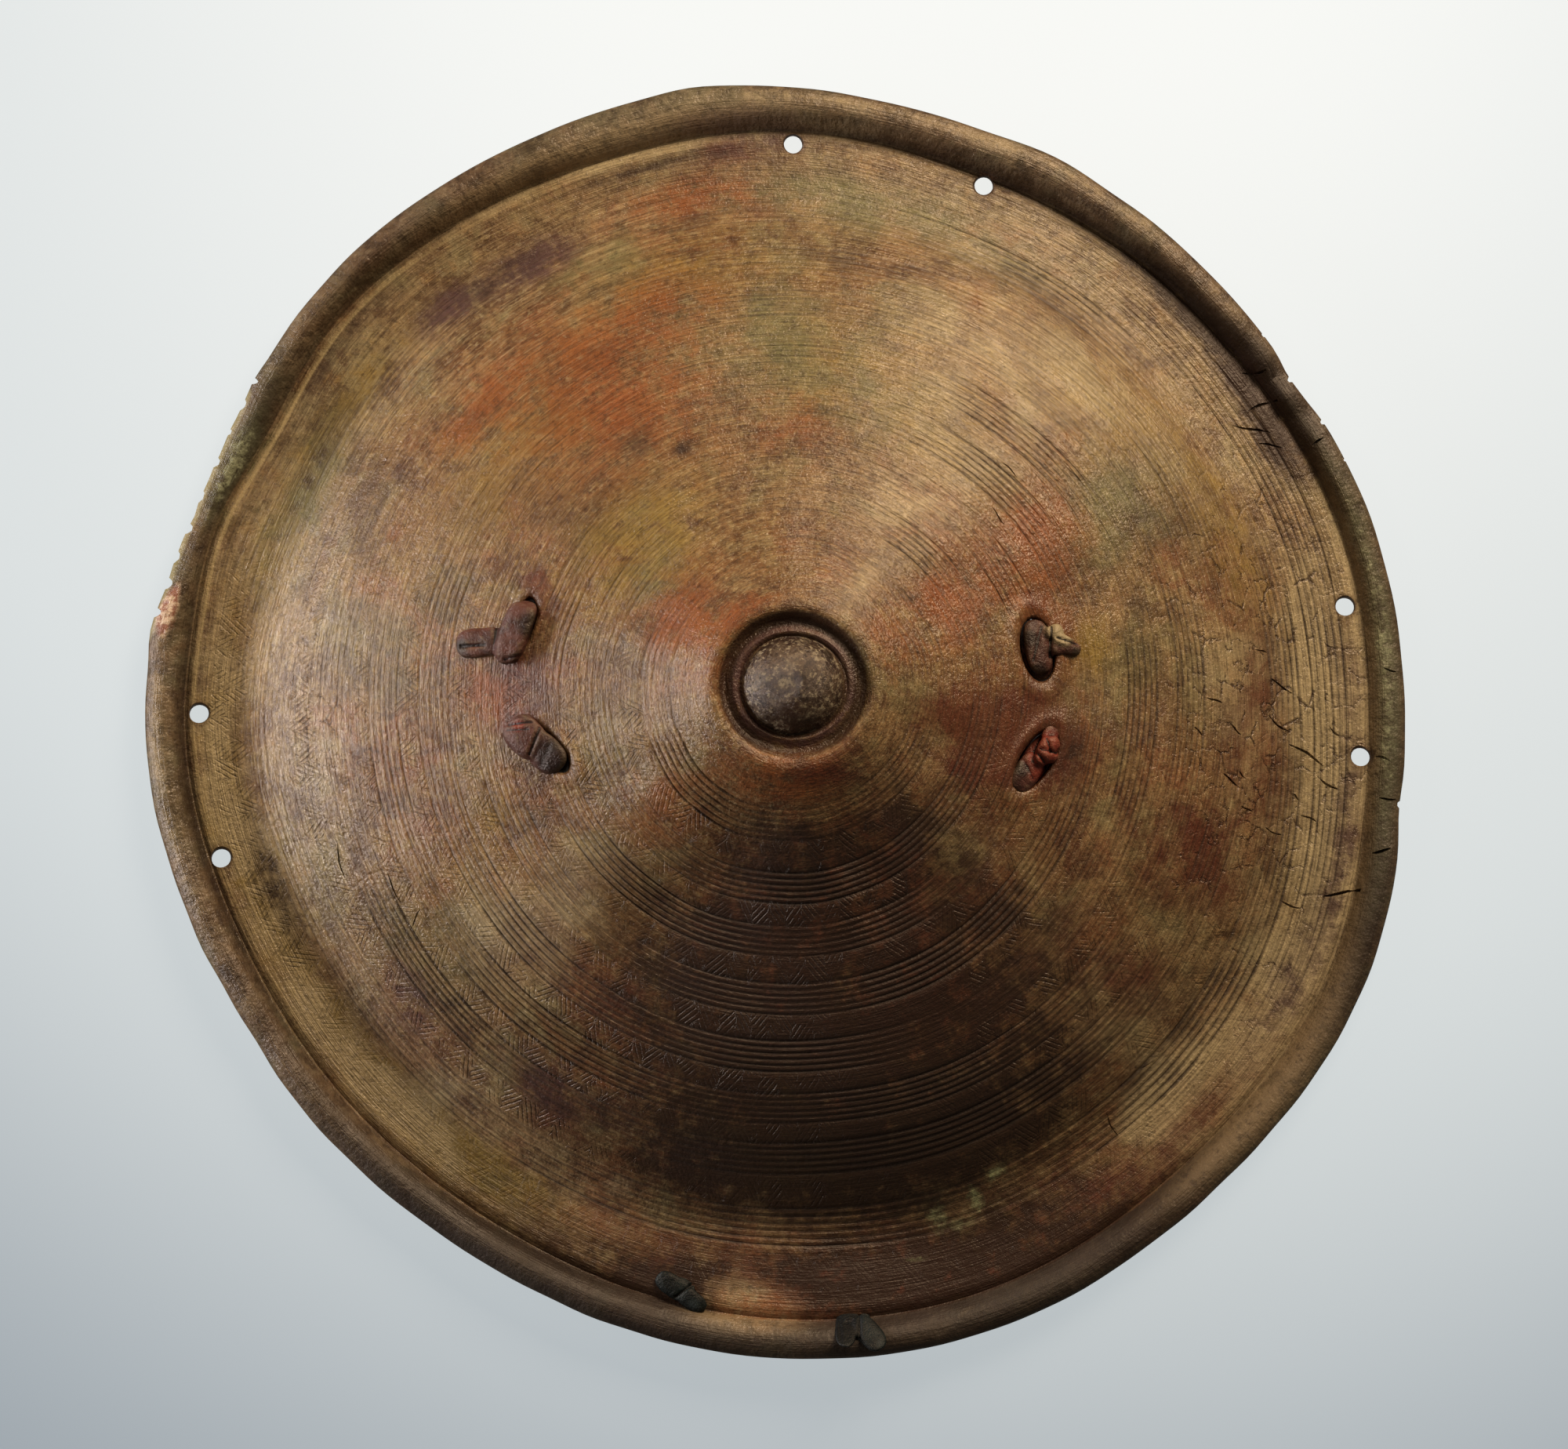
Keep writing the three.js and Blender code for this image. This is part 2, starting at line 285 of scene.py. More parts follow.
# %% Slots and holes
SLOTS = {
    "upper_left": (-92.2, 25.2, 19, 7, 73),
    "lower_left": (-84.2, -18.6, 21, 8.5, -47),
    "upper_right": (85.6, 16.0, 22.5, 12, 99),
    "lower_right": (84.6, -22.6, 23.5, 10.5, 59),
    "thong_left": (-38.3, -204.2, 14, 6.5, -25),
    "thong_right": (24.6, -217.2, 12, 6, -20),
}
LACE_HOLES = [
    (206.2, 89.1), (204.3, 69.4), (204, 10.9), (205.8, -4.3), (208.5, 180), (206.8, 194.4),
]
LACE_RADIUS = 3.5


def in_slot(x, y, slot):
    """How far a point is from a slot's middle: 1 on the slot's edge, 2 at twice its size."""
    sx, sy, long, wide, turn = slot
    cos, sin = math.cos(math.radians(turn)), math.sin(math.radians(turn))
    along, across = (x - sx) * cos + (y - sy) * sin, (y - sy) * cos - (x - sx) * sin
    return np.hypot(along / (long / 2), across / (wide / 2))


# %% [markdown]
# ## Fields that close on themselves
#
# Hand work wavers. `wander` is a smooth field made of a few sine waves that run a whole number of times
# round the shield, so it has no seam. Its phases come from a seeded generator, so every run is the same.

# %% Wander
def wander(theta, ring, seed, lobes, reach=40):
    """About -1 to 1, with that range of waves to the turn, changing over `reach` mm outwards."""
    draw = np.random.default_rng(seed)
    total = 0
    for lobe in range(*lobes):
        phase, drift = draw.uniform(0, 2 * math.pi), draw.uniform(-1.5, 1.5)
        total = total + draw.uniform(0.5, 1) * np.sin(lobe * theta + phase + drift * ring / reach)
    return total / math.sqrt(lobes[1] - lobes[0])


def ring_shift(ring, theta):
    """How far a ring runs out of true, in millimetres."""
    slow = 0.9 * wander(theta, ring, 3, (2, 6)) + 0.25 * wander(theta, ring, 5, (7, 15))
    return slow * ease(26, 48, ring) * (1 - ease(195, 212, ring))


def outward(ring, theta):
    """Real distance from the boss axis of a point whose mean distance is ring."""
    outline = ease(150, 204, ring) * (edge_radius(theta) - MEAN_RADIUS)
    crease = sum(mm * hump(theta, at, half) for at, mm, half in CREASE_SHIFTS)
    ragged = 0.16 * wander(theta, ring, 11, (20, 60), 400)
    ragged = ragged + 0.42 * hump(theta, 160, 11) * wander(theta, ring, 12, (40, 130), 400)
    marks = ragged + sum(mm * hump(theta, at, half) for at, mm, half in EDGE_MARKS)
    crease = crease * ease(190, 208, ring) * (1 - ease(211, 222, ring))
    return ring + ring_shift(ring, theta) + outline + crease + marks * ease(211, 221, ring)


def ring_of(distance, theta):
    """The other way round: the mean distance of a real one, found in a few steps."""
    ring = distance
    for _ in range(6):
        ring = ring - (outward(ring, theta) - distance)
    return ring


probe = outward(np.array([60.0, 150.0]), np.array([1.0, 2.0]))
print("a ring comes back as", np.round(ring_of(probe, np.array([1.0, 2.0])), 2))

# %% [markdown]
# ## Carving
#
# Each groove is a cosine dip. A band isn't equally deep all round: the comb was pressed harder on the lower
# half, and handling has worn the upper half nearly smooth. The first and last tooth of the comb bit
# deepest, which draws the bands' dark borders.

# %% Groove depth
# Rubbed smooth where hands and the strap's ends have worked: place and reach.
RUBBED = [(-101, 1, 17), (-96, 22, 15), (-88, -18, 16), (88, 18, 15), (88, -22, 14), (93, -2, 11)]


def band_strength(theta, number):
    """How hard the comb was pressed in each direction."""
    if number == OUTERMOST:
        return 0.9 * np.exp(-((np.degrees(np.angle(np.exp(1j * (theta - 0.1)))) / 44) ** 4))
    worn = 1 - 0.6 * hump(theta, 118, 50) - 0.3 * hump(theta, 182, 16) - 0.2 * hump(theta, 20, 40)
    return np.clip(worn * (0.85 + 0.5 * wander(theta, number * 9.0, 21 + number, (1, 9), 30)), 0.1, 1.25)


def groove(ring, theta):
    """How deep the comb's teeth cut here: 0 on the skin, about 1 at the bottom of a groove."""
    depth = 0
    for number, (band_middle, pitch) in enumerate(BANDS):
        half = pitch * COMB_TEETH / 2
        inside = np.abs(ring - band_middle) <= half
        tooth = (ring - band_middle + half) / pitch
        border = 1 + 0.15 * (np.abs(tooth - COMB_TEETH / 2) > COMB_TEETH / 2 - 1)
        dip = (0.5 - 0.5 * np.cos(2 * math.pi * tooth)) ** 1.5 * border
        depth = depth + inside * dip * band_strength(theta, number)
    x, y = ring * np.cos(theta), ring * np.sin(theta)
    smoothed = sum(np.exp(-(np.hypot(x - px, y - py) / reach) ** 4) for px, py, reach in RUBBED)
    return depth * (1 - np.clip(smoothed, 0, 0.9))


def slot_pucker(x, y):
    """The hide is pushed up round each grip slot and pulled in at its edge."""
    height = 0
    for name in ("upper_left", "lower_left", "upper_right", "lower_right"):
        away = in_slot(x, y, SLOTS[name])
        height = height + 1.1 * np.exp(-(((away - 1.35) / 0.33) ** 2)) - 0.8 * np.exp(-((away / 1.1) ** 4))
    return height


def swell(ring, theta):
    """Broad unevenness of the moulded hide, none at the boss and none where the shield rests."""
    uneven = 0.8 * wander(theta, ring, 31, (2, 9)) + 0.35 * wander(theta, ring, 32, (9, 22), 12)
    return uneven * ease(30, 60, ring) * (1 - ease(186, 205, ring))


def edge_lift(ring, theta):
    """How far the warped lower edge stands up."""
    direction, half, most = LIFT
    return most * hump(theta, direction, half) * ease(165, 200, ring)


def lip_share(ring, theta, height):
    """How much of the lip's height is gone: 0 where it stands full, 1 where it lies flat."""
    left = 1.0
    for at, half, remains in SUNK_LIP:
        left = left * (1 - (1 - remains) * hump(theta, at, half))
    uneven = 1 + 0.1 * wander(theta, ring, 41, (3, 12), 400) + 0.09 * wander(theta, ring, 42, (14, 40), 60)
    uneven = uneven - 0.28 * hump(theta, 33, 6) * (1 + wander(theta, ring, 43, (50, 110), 30))
    return ease(210, 213, ring) * ease(6, 10, height) * (1 - left * np.minimum(uneven, 1.06))


def shape_hide(x, y, z):
    """Moves the spun points to their real places. Everything in millimetres."""
    ring, theta = np.hypot(x, y), np.arctan2(y, x)
    front = z > np.where(ring < FLANGE_RADIUS, cone_height(np.maximum(ring, 28)) - 1.5, 1e3)
    front = front | ((ring < 31.6) & (z > 93.5))
    distance = outward(ring, theta)
    # the boss is a little wider across than along
    oval = 1 - ease(20, 32, ring)
    new_x = distance * np.cos(theta) * (1 + 0.035 * oval)
    new_y = distance * np.sin(theta) * (1 - 0.035 * oval)
    new_z = z - lip_share(ring, theta, z) * (z - 6)
    new_z = new_z + swell(ring, theta) + slot_pucker(new_x, new_y)
    new_z = new_z + edge_lift(ring, theta)
    slope = np.radians(np.interp(ring, *zip(*CONE_SLOPES)))
    depth = GROOVE_DEPTH * groove(ring, theta) * front
    new_x = new_x - depth * np.sin(slope) * np.cos(theta)
    new_y = new_y - depth * np.sin(slope) * np.sin(theta)
    return new_x, new_y, np.maximum(new_z - depth * np.cos(slope), 0)


def move_points(piece, mover):
    """Runs every point of a piece through a function of x, y, z about the boss axis, in millimetres."""
    co = np.empty(len(piece.data.vertices) * 3)
    piece.data.vertices.foreach_get("co", co)
    moved = np.stack(mover(*(co.reshape(-1, 3).T / MM)), axis=1)
    piece.data.vertices.foreach_set("co", (moved * MM).ravel())
    piece.data.update()


move_points(hide, shape_hide)
print("shaped; size", [round(v / MM, 1) for v in hide.dimensions])

# %% [markdown]
# ## Heights on the finished front
#
# The straps and the cutters have to lie on the real, uneven front, so these two functions give its height
# and its direction under any point.

# %% Front of the hide
LIP_IN_FRONT = RIM_SECTION[:13]
front_line = np.array(BOSS_SECTION + [(r, float(cone_height(r))) for r in range(34, 207, 2)] + LIP_IN_FRONT)


def front_height(x, y):
    """Height of the skin in front, in millimetres, for places about the boss axis."""
    distance, theta = np.hypot(x, y), np.arctan2(y, x)
    ring = ring_of(distance, theta)
    height = np.interp(ring, front_line[:, 0], front_line[:, 1])
    height = height - lip_share(ring, theta, height) * (height - 6)
    return height + swell(ring, theta) + edge_lift(ring, theta)


def front_slope(x, y, reach=3.0):
    """How much the front rises per millimetre along x and along y."""
    return ((front_height(x + reach, y) - front_height(x - reach, y)) / (2 * reach),
            (front_height(x, y + reach) - front_height(x, y - reach)) / (2 * reach))


for name, (sx, sy, *_) in SLOTS.items():
    print(name, "slot stands at", round(float(front_height(sx, sy)), 1), "mm")

# %% [markdown]
# ## Cutting slots, holes, cracks and the torn edge
#
# Everything that was cut or has split is taken out with one Boolean modifier, so it is real shape and not
# paint. Each cutter is a stack: an oval drawn with `create_circle`, extruded upwards and scaled at each
# level. A slot's cutter flares at the skin, which leaves the rim of the slot rounded as if by wear. The
# cutter of a crack is a long thin oval that ends a millimetre below the skin, and a bite is a tall lump.

# %% Sweeps
def sweep(bm, frames, segments=24, boxy=1.0):
    """One oval section after another, joined and closed; boxy below 1 squares the ovals' corners."""
    made = bmesh.ops.create_circle(bm, cap_ends=True, segments=segments, radius=1)
    verts = made["verts"]
    for vert in verts:
        vert.co = [math.copysign(abs(part) ** boxy, part) for part in vert.co.xy] + [0]
    bmesh.ops.transform(bm, matrix=frames[0], verts=verts)
    loop = list(verts[0].link_faces[0].edges)
    for below, above in zip(frames, frames[1:]):
        grown = bmesh.ops.extrude_edge_only(bm, edges=loop)["geom"]
        new = [part for part in grown if isinstance(part, bmesh.types.BMVert)]
        edges = {edge for vert in new for edge in vert.link_edges}
        loop = [edge for edge in edges if edge.verts[0] in new and edge.verts[1] in new]
        bmesh.ops.transform(bm, matrix=above @ below.inverted(), verts=new)
        verts = verts + new
    bmesh.ops.edgeloop_fill(bm, edges=loop)
    return verts


def stack(bm, place, levels, segments=24):
    """Ovals one above another: levels are (height, size), and place puts the stack where it belongs."""
    lifts = [place @ Matrix.Translation((0, 0, h)) @ Matrix.Diagonal((s, s, 1, 1)) for h, s in levels]
    return sweep(bm, lifts, segments)


def plan(x, y, z, long, wide, turn):
    """A place on the shield for an oval of that length, width and turn, in millimetres."""
    spin = Matrix.Rotation(math.radians(turn), 4, "Z")
    return Matrix.Translation((x, y, z)) @ spin @ Matrix.Diagonal((long / 2, wide / 2, 1, 1))


def follow_front(verts, x, y):
    """Shears points about (x, y) so that what was level follows the slope of the front."""
    slope_x, slope_y = front_slope(x, y)
    for vert in verts:
        vert.co.z += slope_x * (vert.co.x - x) + slope_y * (vert.co.y - y)


# %% Cutters
cutters = bmesh.new()
SLOT_LEVELS = [(-30, 1.05), (-6.5, 1.0), (-2.0, 1.0), (-0.8, 1.03), (0.2, 1.1), (1.5, 1.28)]
for name, (x, y, long, wide, turn) in SLOTS.items():
    depth = 12 if "thong" in name else 30
    levels = [(max(h, -depth), s) for h, s in SLOT_LEVELS]
    verts = stack(cutters, plan(x, y, float(front_height(x, y)), long, wide, turn), levels)
    follow_front(verts, x, y)

for distance, direction in LACE_HOLES:
    x, y = distance * math.cos(math.radians(direction)), distance * math.sin(math.radians(direction))
    top = float(front_height(x, y))
    levels = [
        (-12, 1.25), (1.2 - top, 1.15), (2.2 - top, 1.0), (-1.2, 1.0), (-0.3, 1.08), (0.3, 1.22), (6, 1.25),
    ]
    stack(cutters, plan(x, y, top, 2 * LACE_RADIUS, 2 * LACE_RADIUS * 0.96, direction), levels, 20)

# Cracks: distance and direction from the boss, length, turn of the line, width, depth.
CRACKS = [
    (176, 3, 10, -24, 1.0, 1.2), (150, 0.5, 8, -20, 0.8, 1.0), (144, -4, 6, -38, 0.8, 0.9),
    (158, -3, 7, -35, 0.9, 1.0), (175, -1.6, 10, -32, 1.0, 1.3), (186, -4.6, 14, -30, 1.1, 1.5),
    (162, -8.5, 5, -40, 0.8, 0.9), (158, -9.6, 10, -30, 1.0, 1.2), (195, -7.5, 10, -33, 1.1, 1.2),
    (190, -11.5, 7, -25, 0.9, 0.9), (184, -9.5, 5, -40, 0.8, 0.9), (196, -2, 6, -38, 0.9, 1.0),
    (170, 7, 6, -15, 0.8, 0.8), (166, -12.5, 6, -28, 0.8, 0.9), (178, -14, 8, -20, 0.8, 0.9),
    (213, -4.5, 9, -20, 1.0, 1.4), (216, -8.2, 12, -4, 0.9, 1.3), (217, -13.2, 12, 9, 1.2, 2.0),
    (210, -17.8, 15, 4, 1.1, 1.5), (192, -21, 9, -15, 0.9, 1.0), (216, 4, 7, -10, 0.8, 1.0),
    (196, 31.5, 15, 165, 1.0, 1.4), (203, 33.0, 13, 22, 1.1, 1.5), (199, 29, 10, 175, 0.9, 1.1),
    (214, 27, 7, 40, 1.0, 1.4), (209, 36, 8, 5, 1.0, 1.4), (96, 41, 8, -50, 0.6, 0.6),
    (111, 46, 9, -45, 0.6, 0.6), (128, 38, 8, -60, 0.6, 0.6), (186, -52, 9, -60, 0.7, 0.8),
    (178, -45, 8, 20, 0.7, 0.7), (150, -150, 8, 60, 0.6, 0.6), (152, 205, 16, -62, 0.7, 0.8),
    (166, 199, 14, -75, 0.7, 0.8),
]
for distance, direction, long, turn, wide, depth in CRACKS:
    x, y = distance * math.cos(math.radians(direction)), distance * math.sin(math.radians(direction))
    levels = [(-depth, 0.35), (0, 1.0), (2.5, 1.3)]
    verts = stack(cutters, plan(x, y, float(front_height(x, y)), long, wide, turn), levels, 14)
    along = Vector((math.cos(math.radians(turn)), math.sin(math.radians(turn))))
    for vert in verts:
        # a crack doesn't run straight
        run = (vert.co.xy - Vector((x, y))).dot(along) / (long / 2)
        vert.co.xy += along.orthogonal() * (0.25 + 0.025 * long) * math.sin(2.3 * run + direction)
    follow_front(verts, x, y)

# Bites out of the edge where the lip is torn: direction, how far in, size along the edge.
BITE_WIDTH = 8
LIP_MIDDLE = 8
LUMP_REACH = 14
BITES = [
    (148.0, 2.4, 3), (150.4, 1.5, 6), (153.2, 1.2, 4), (156.2, 1.7, 5), (159.6, 1.3, 7), (162.8, 2.0, 5),
    (165.6, 1.6, 6), (168.2, 2.3, 5), (171.0, 2.5, 4), (38.5, 1.0, 3), (33.6, 1.6, 3), (28.6, 1.4, 3),
    (24.5, 0.9, 2), (351.5, 1.2, 4),
]
for direction, bite, long in BITES:
    theta = math.radians(direction)
    edge = float(outward(MEAN_RADIUS, theta)) + BITE_WIDTH / 2 - bite
    place = plan(edge * math.cos(theta), edge * math.sin(theta), LIP_MIDDLE, BITE_WIDTH, long, direction + 7)
    lump = bmesh.ops.create_icosphere(cutters, subdivisions=2, radius=1, matrix=place)["verts"]
    for vert in lump:
        # tall enough to go right through the lip
        vert.co.z = LIP_MIDDLE + (vert.co.z - LIP_MIDDLE) * LUMP_REACH
bmesh.ops.recalc_face_normals(cutters, faces=cutters.faces[:])
bmesh.ops.scale(cutters, vec=(MM, MM, MM), verts=cutters.verts[:])
cutter = new_object("cutter", cutters)
print(len(SLOTS), "slots,", len(LACE_HOLES), "holes,", len(CRACKS), "cracks and", len(BITES), "bites")


# %% Cut
def bake(piece):
    """Applies a piece's modifiers for good."""
    seen = piece.evaluated_get(bpy.context.evaluated_depsgraph_get())
    old, finished = piece.data, bpy.data.meshes.new_from_object(seen)
    piece.modifiers.clear()
    piece.data = finished
    finished.name = piece.name
    bpy.data.meshes.remove(old)


cut = hide.modifiers.new("cut", "BOOLEAN")
cut.operation, cut.solver, cut.object = "DIFFERENCE", "MANIFOLD", cutter
bake(hide)
bpy.data.objects.remove(cutter)
hide.data.polygons.foreach_set("use_smooth", [True] * len(hide.data.polygons))
hide.data.calc_loop_triangles()
print("after the cut:", len(hide.data.loop_triangles), "triangles")
hide.data.set_sharp_from_angle(angle=math.radians(48))

# %% [markdown]
# ## Painting the stains
#
# A century of handling, smoke and dye has left stains of several kinds, each with its own places. Two kinds
# also carry painted light: the soot is painted shade as well, below the boss and round the thong's knots,
# and some tan spots are painted highlights and painted light on the lip's shaded inner wall. Every kind
# becomes a number on each point, 0 where there is none. A stain is given as a distance and direction from
# the boss, its half width outwards in millimetres and along the turn in degrees, and its strength, which is
# below 0 where a spot has been rubbed clean. The material then breaks up its edge. Because the stains are
# worked out from the point's place, they need no picture.

# %% Stains
STAINS = {
    # soot: real soot, and painted shade as well: the dark fan below the boss where the cone turns away from
    # the light, and dark halos round the thong's knots
    "soot_and_shade": [
        (150, 276, 32, 34, 0.95), (70, 312, 34, 18, 0.5), (214, 156, 3, 9, 0.8), (163, 279, 13, 27, 0.75),
        (120, 272, 20, 30, 0.8), (92, 266, 26, 36, 1.0), (58, 275, 16, 34, 0.85), (196, 282, 12, 20, 0.4),
        (124, 312, 34, 20, 0.32), (140, 27, 20, 8, 0.5), (160, 16, 14, 7, 0.35), (184, 123, 8, 6, 0.5),
        (205, 140, 4, 14, 0.6), (190, 152, 5, 9, 0.6), (193, 199, 6, 8, 0.8), (185, 217, 9, 7, 0.35),
        (97, 206, 12, 6, 0.5), (204, 30, 6, 7, 0.9), (207, 42, 5, 10, 0.7), (103, 121, 4, 3, 0.8),
        (93, 113, 3, 3, 0.8), (178, 100, 5, 2.5, 0.6), (208, 258, 7, 5, 1.0), (218, 278, 8, 5, 1.1),
        (217, 248, 7, 16, 0.7), (101, 348, 6, 5, 0.5), (217, 290, 8, 12, 0.8), (200, 288, 13, 20, 0.75),
        (217, 312, 7, 22, 0.4), (217, 338, 6, 16, 0.8), (221, 4, 5, 28, 0.55), (217, 238, 6, 18, 0.5),
        (200, 338, 12, 12, 0.35), (205, 250, 8, 12, 0.4), (100, 138, 50, 22, 0.34),
        (60, 180, 20, 24, 0.36), (200, 270, 9, 16, 0.5), (205, 266.5, 7, 4.4, -1.3),
        (220, 258, 5, 14, 0.9), (203, 104, 4, 12, 0.6), (218, 152, 5, 7, 0.55), (216, 216, 4, 14, 0.4),
        (224, 240, 6, 24, 0.6), (96, 0, 14, 22, 0.3), (216, 33, 8, 8, 1.1), (218, 296, 6, 14, 0.7),
        (211, 48, 5, 12, 0.8), (217, 320, 6, 12, 0.3), (212, 300, 5, 14, 0.6), (211, 8, 2, 20, 0.5),
        (158, 158, 9, 6, 0.25),
    ],
    "russet": [
        (31, 128, 5, 34, 0.8), (33, 265, 8, 34, 1.0), (46, 148, 14, 22, 0.9), (58, 222, 22, 20, 0.5),
        (10, 262, 7, 60, 0.5), (34, 24, 8, 24, 0.6), (120, 122, 34, 22, 0.8), (92, 88, 18, 12, 0.5),
        (217, 300, 6, 16, 0.4), (106, 34, 17, 12, 0.7), (186, 100, 10, 9, 0.8), (150, 108, 14, 12, 0.4),
        (68, 30, 22, 12, 0.6), (190, 268, 12, 22, 0.5), (150, 136, 11, 9, 0.55), (90, 13, 12, 12, 0.6),
        (104, 352, 12, 12, 0.45), (106, 180, 10, 8, 0.75), (192, 64, 8, 10, 0.4), (209, 267, 8, 5, 0.9),
        (97, 181, 6, 4, 0.9), (212, 305, 12, 9, 0.4), (216, 170, 8, 3.6, 0.3), (158, 62, 12, 12, 0.25),
        (200, 246, 9, 8, 0.3), (60, 25, 10, 18, 0.45), (180, 325, 12, 12, 0.3),
    ],
    "crimson": [
        (88, 350, 8, 7, 0.9), (70, 352, 34, 13, 0.9), (80, 286, 36, 24, 0.9), (196, 284, 14, 24, 0.6),
        (152, 322, 8, 4.5, 0.75), (116, 299, 7, 4, 0.6), (176, 354, 22, 12, 0.5), (150, 340, 26, 10, 0.6),
        (166, 240, 9, 5, 0.55), (95, 186, 7, 4, 1.3), (97, 157, 6, 5, 0.9), (97, 174, 5, 3, 1.1),
        (100, 225, 60, 28, 0.45), (110, 315, 70, 28, 0.4), (204, 278, 12, 40, 0.7),
        (205, 266.5, 7, 4.4, -0.8), (120, 270, 60, 30, 0.4), (90, 22, 5, 4, 0.9),
        (83, 352.5, 11, 2.6, 1.3), (79, 340, 5, 4, 0.7), (203, 96, 7, 4, 0.8), (30, 292, 6, 24, 0.6),
        (170, 6, 8, 9, 0.5), (218, 302, 8, 7, 0.55), (70, 283, 8, 14, 0.45), (176, 92, 8, 5, 0.5),
        (96, 14, 9, 6, 0.6), (86, 162, 8, 6, 0.5), (120, 276, 9, 8, 0.35), (212, 328, 7, 8, 0.3),
        (64, 345, 14, 14, 0.5),
    ],
    "plum": [
        (188, 130, 7, 4.5, 1.0), (184, 119, 9, 6, 0.9), (168, 218, 14, 8, 0.65), (158, 238, 15, 8, 0.6),
        (90, 178, 14, 13, 0.7), (204, 4, 9, 6, 0.4), (208, 36, 8, 7, 0.8), (140, 200, 12, 8, 0.3),
        (172, 158, 10, 10, 0.45), (19.6, 90, 1.9, 400, 1.2), (128, 354, 16, 8, 0.35),
        (150, 296, 16, 14, 0.4), (206, 92, 8, 8, 0.6), (60, 330, 14, 20, 0.3), (205, 346, 7, 12, 0.7),
        (198, 330, 12, 9, 0.5), (214, 96, 4, 9, 0.7), (217, 210, 6, 12, 0.4), (218, 128, 6, 9, 0.5),
        (150, 4, 24, 5, 0.25), (196, 296, 11, 12, 0.4), (130, 150, 14, 8, 0.3),
    ],
    "ochre": [
        (74, 136, 22, 22, 0.9), (130, 138, 24, 20, 0.6), (160, 104, 18, 18, 0.45), (120, 78, 26, 20, 0.4),
        (200, 190, 9, 20, 0.7), (197, 220, 9, 18, 0.7), (190, 150, 10, 20, 0.6), (170, 22, 20, 18, 0.5),
        (110, 205, 20, 14, 0.5), (150, 45, 24, 14, 0.5), (100, 60, 24, 20, 0.35), (196, 236, 10, 10, 0.8),
        (105, 10, 10, 6, 0.9),
    ],
    # tan: real tan patches, and painted light as well: a painted highlight on the upper right of the cone, a
    # painted sheen on the left shoulder, and painted light on the lip's shaded inner wall at the top and the
    # right
    "tan": [
        (140, 62, 34, 14, 0.5), (168, 40, 20, 16, 0.3), (80, 58, 18, 12, 0.8), (196, 2, 16, 20, 0.9),
        (165, 2, 24, 14, 0.5), (207, 267, 9, 4.5, 1.3), (198, 190, 9, 30, 0.9), (200, 222, 9, 14, 0.9),
        (110, 45, 50, 12, 0.3), (110, 222, 30, 12, 0.6), (42, 58, 12, 10, 0.8), (206, 325, 16, 16, 0.6),
        (192, 312, 8, 4, 0.9), (150, 318, 40, 14, 0.35), (184, 318, 10, 12, 0.5), (217, 318, 6, 16, 0.6),
        (184, 226, 14, 10, 0.5), (122, 216, 22, 12, 0.45), (200, 340, 12, 14, 0.5),
        (150, 20, 16, 10, 0.3), (196, 262, 9, 9, 0.15), (178, 250, 5, 3, 0.8), (166, 182, 8, 34, 0.3),
        (212, 262, 8, 4, 0.5), (213, 106, 6, 24, 1.3), (211, 4, 4, 26, 0.6), (221, 72, 3, 14, 0.6),
        (218, 186, 5, 12, 0.5),
    ],
    "moss": [
        (183, 286.5, 6, 0.8, 0.9), (181, 291, 4, 0.8, 0.9), (176, 294, 3, 1.1, 0.9),
        (187, 289, 2, 0.8, 0.9), (194, 283, 1.5, 0.6, 1.0),
    ],
    "olive": [
        (130, 92, 30, 22, 0.6), (186, 76, 12, 22, 0.8), (172, 112, 10, 8, 0.6), (60, 140, 12, 14, 0.5),
        (190, 158, 14, 14, 0.7), (140, 168, 30, 18, 0.4), (96, 224, 30, 16, 0.6), (150, 214, 20, 14, 0.5),
        (132, 30, 24, 9, 0.8), (190, 352, 20, 20, 0.6), (150, 330, 24, 10, 0.5), (120, 8, 24, 9, 0.4),
        (200, 240, 12, 18, 0.5), (104, 70, 20, 14, 0.4), (70, 165, 20, 14, 0.3), (217, 156, 8, 8, 1.2),
        (218, 6, 6, 28, 1.0), (110, 312, 30, 14, 0.4),
    ],
}


def points_of(piece):
    """The x, y and z of every point, in millimetres."""
    co = np.empty(len(piece.data.vertices) * 3)
    piece.data.vertices.foreach_get("co", co)
    return co.reshape(-1, 3).T / MM


def paint(piece, name, values, kind="FLOAT"):
    """Stores one number, or one vector, on every point of a piece."""
    layer = piece.data.attributes.new(name, kind, "POINT")
    layer.data.foreach_set("value" if kind == "FLOAT" else "vector", np.asarray(values, float).ravel())


x, y, z = points_of(hide)
theta = np.arctan2(y, x)
ring = ring_of(np.hypot(x, y), theta)
skin = np.interp(ring, front_line[:, 0], front_line[:, 1]) + swell(ring, theta)
skin = skin + edge_lift(ring, theta)
behind = np.where(ring < 205, ease(2.2, 4.2, skin - z), ease(5.5, 4.0, z) * (ring < 218))
for kind, places in STAINS.items():
    total = sum(
        strength * np.exp(-(((ring - distance) / reach) ** 2)) * hump(theta, direction, spread)
        for distance, direction, reach, spread, strength in places
    )
    paint(hide, kind, total * (1 - behind))
    print(kind, "covers", round(float(np.mean(total > 0.4)) * 100), "% of the points")
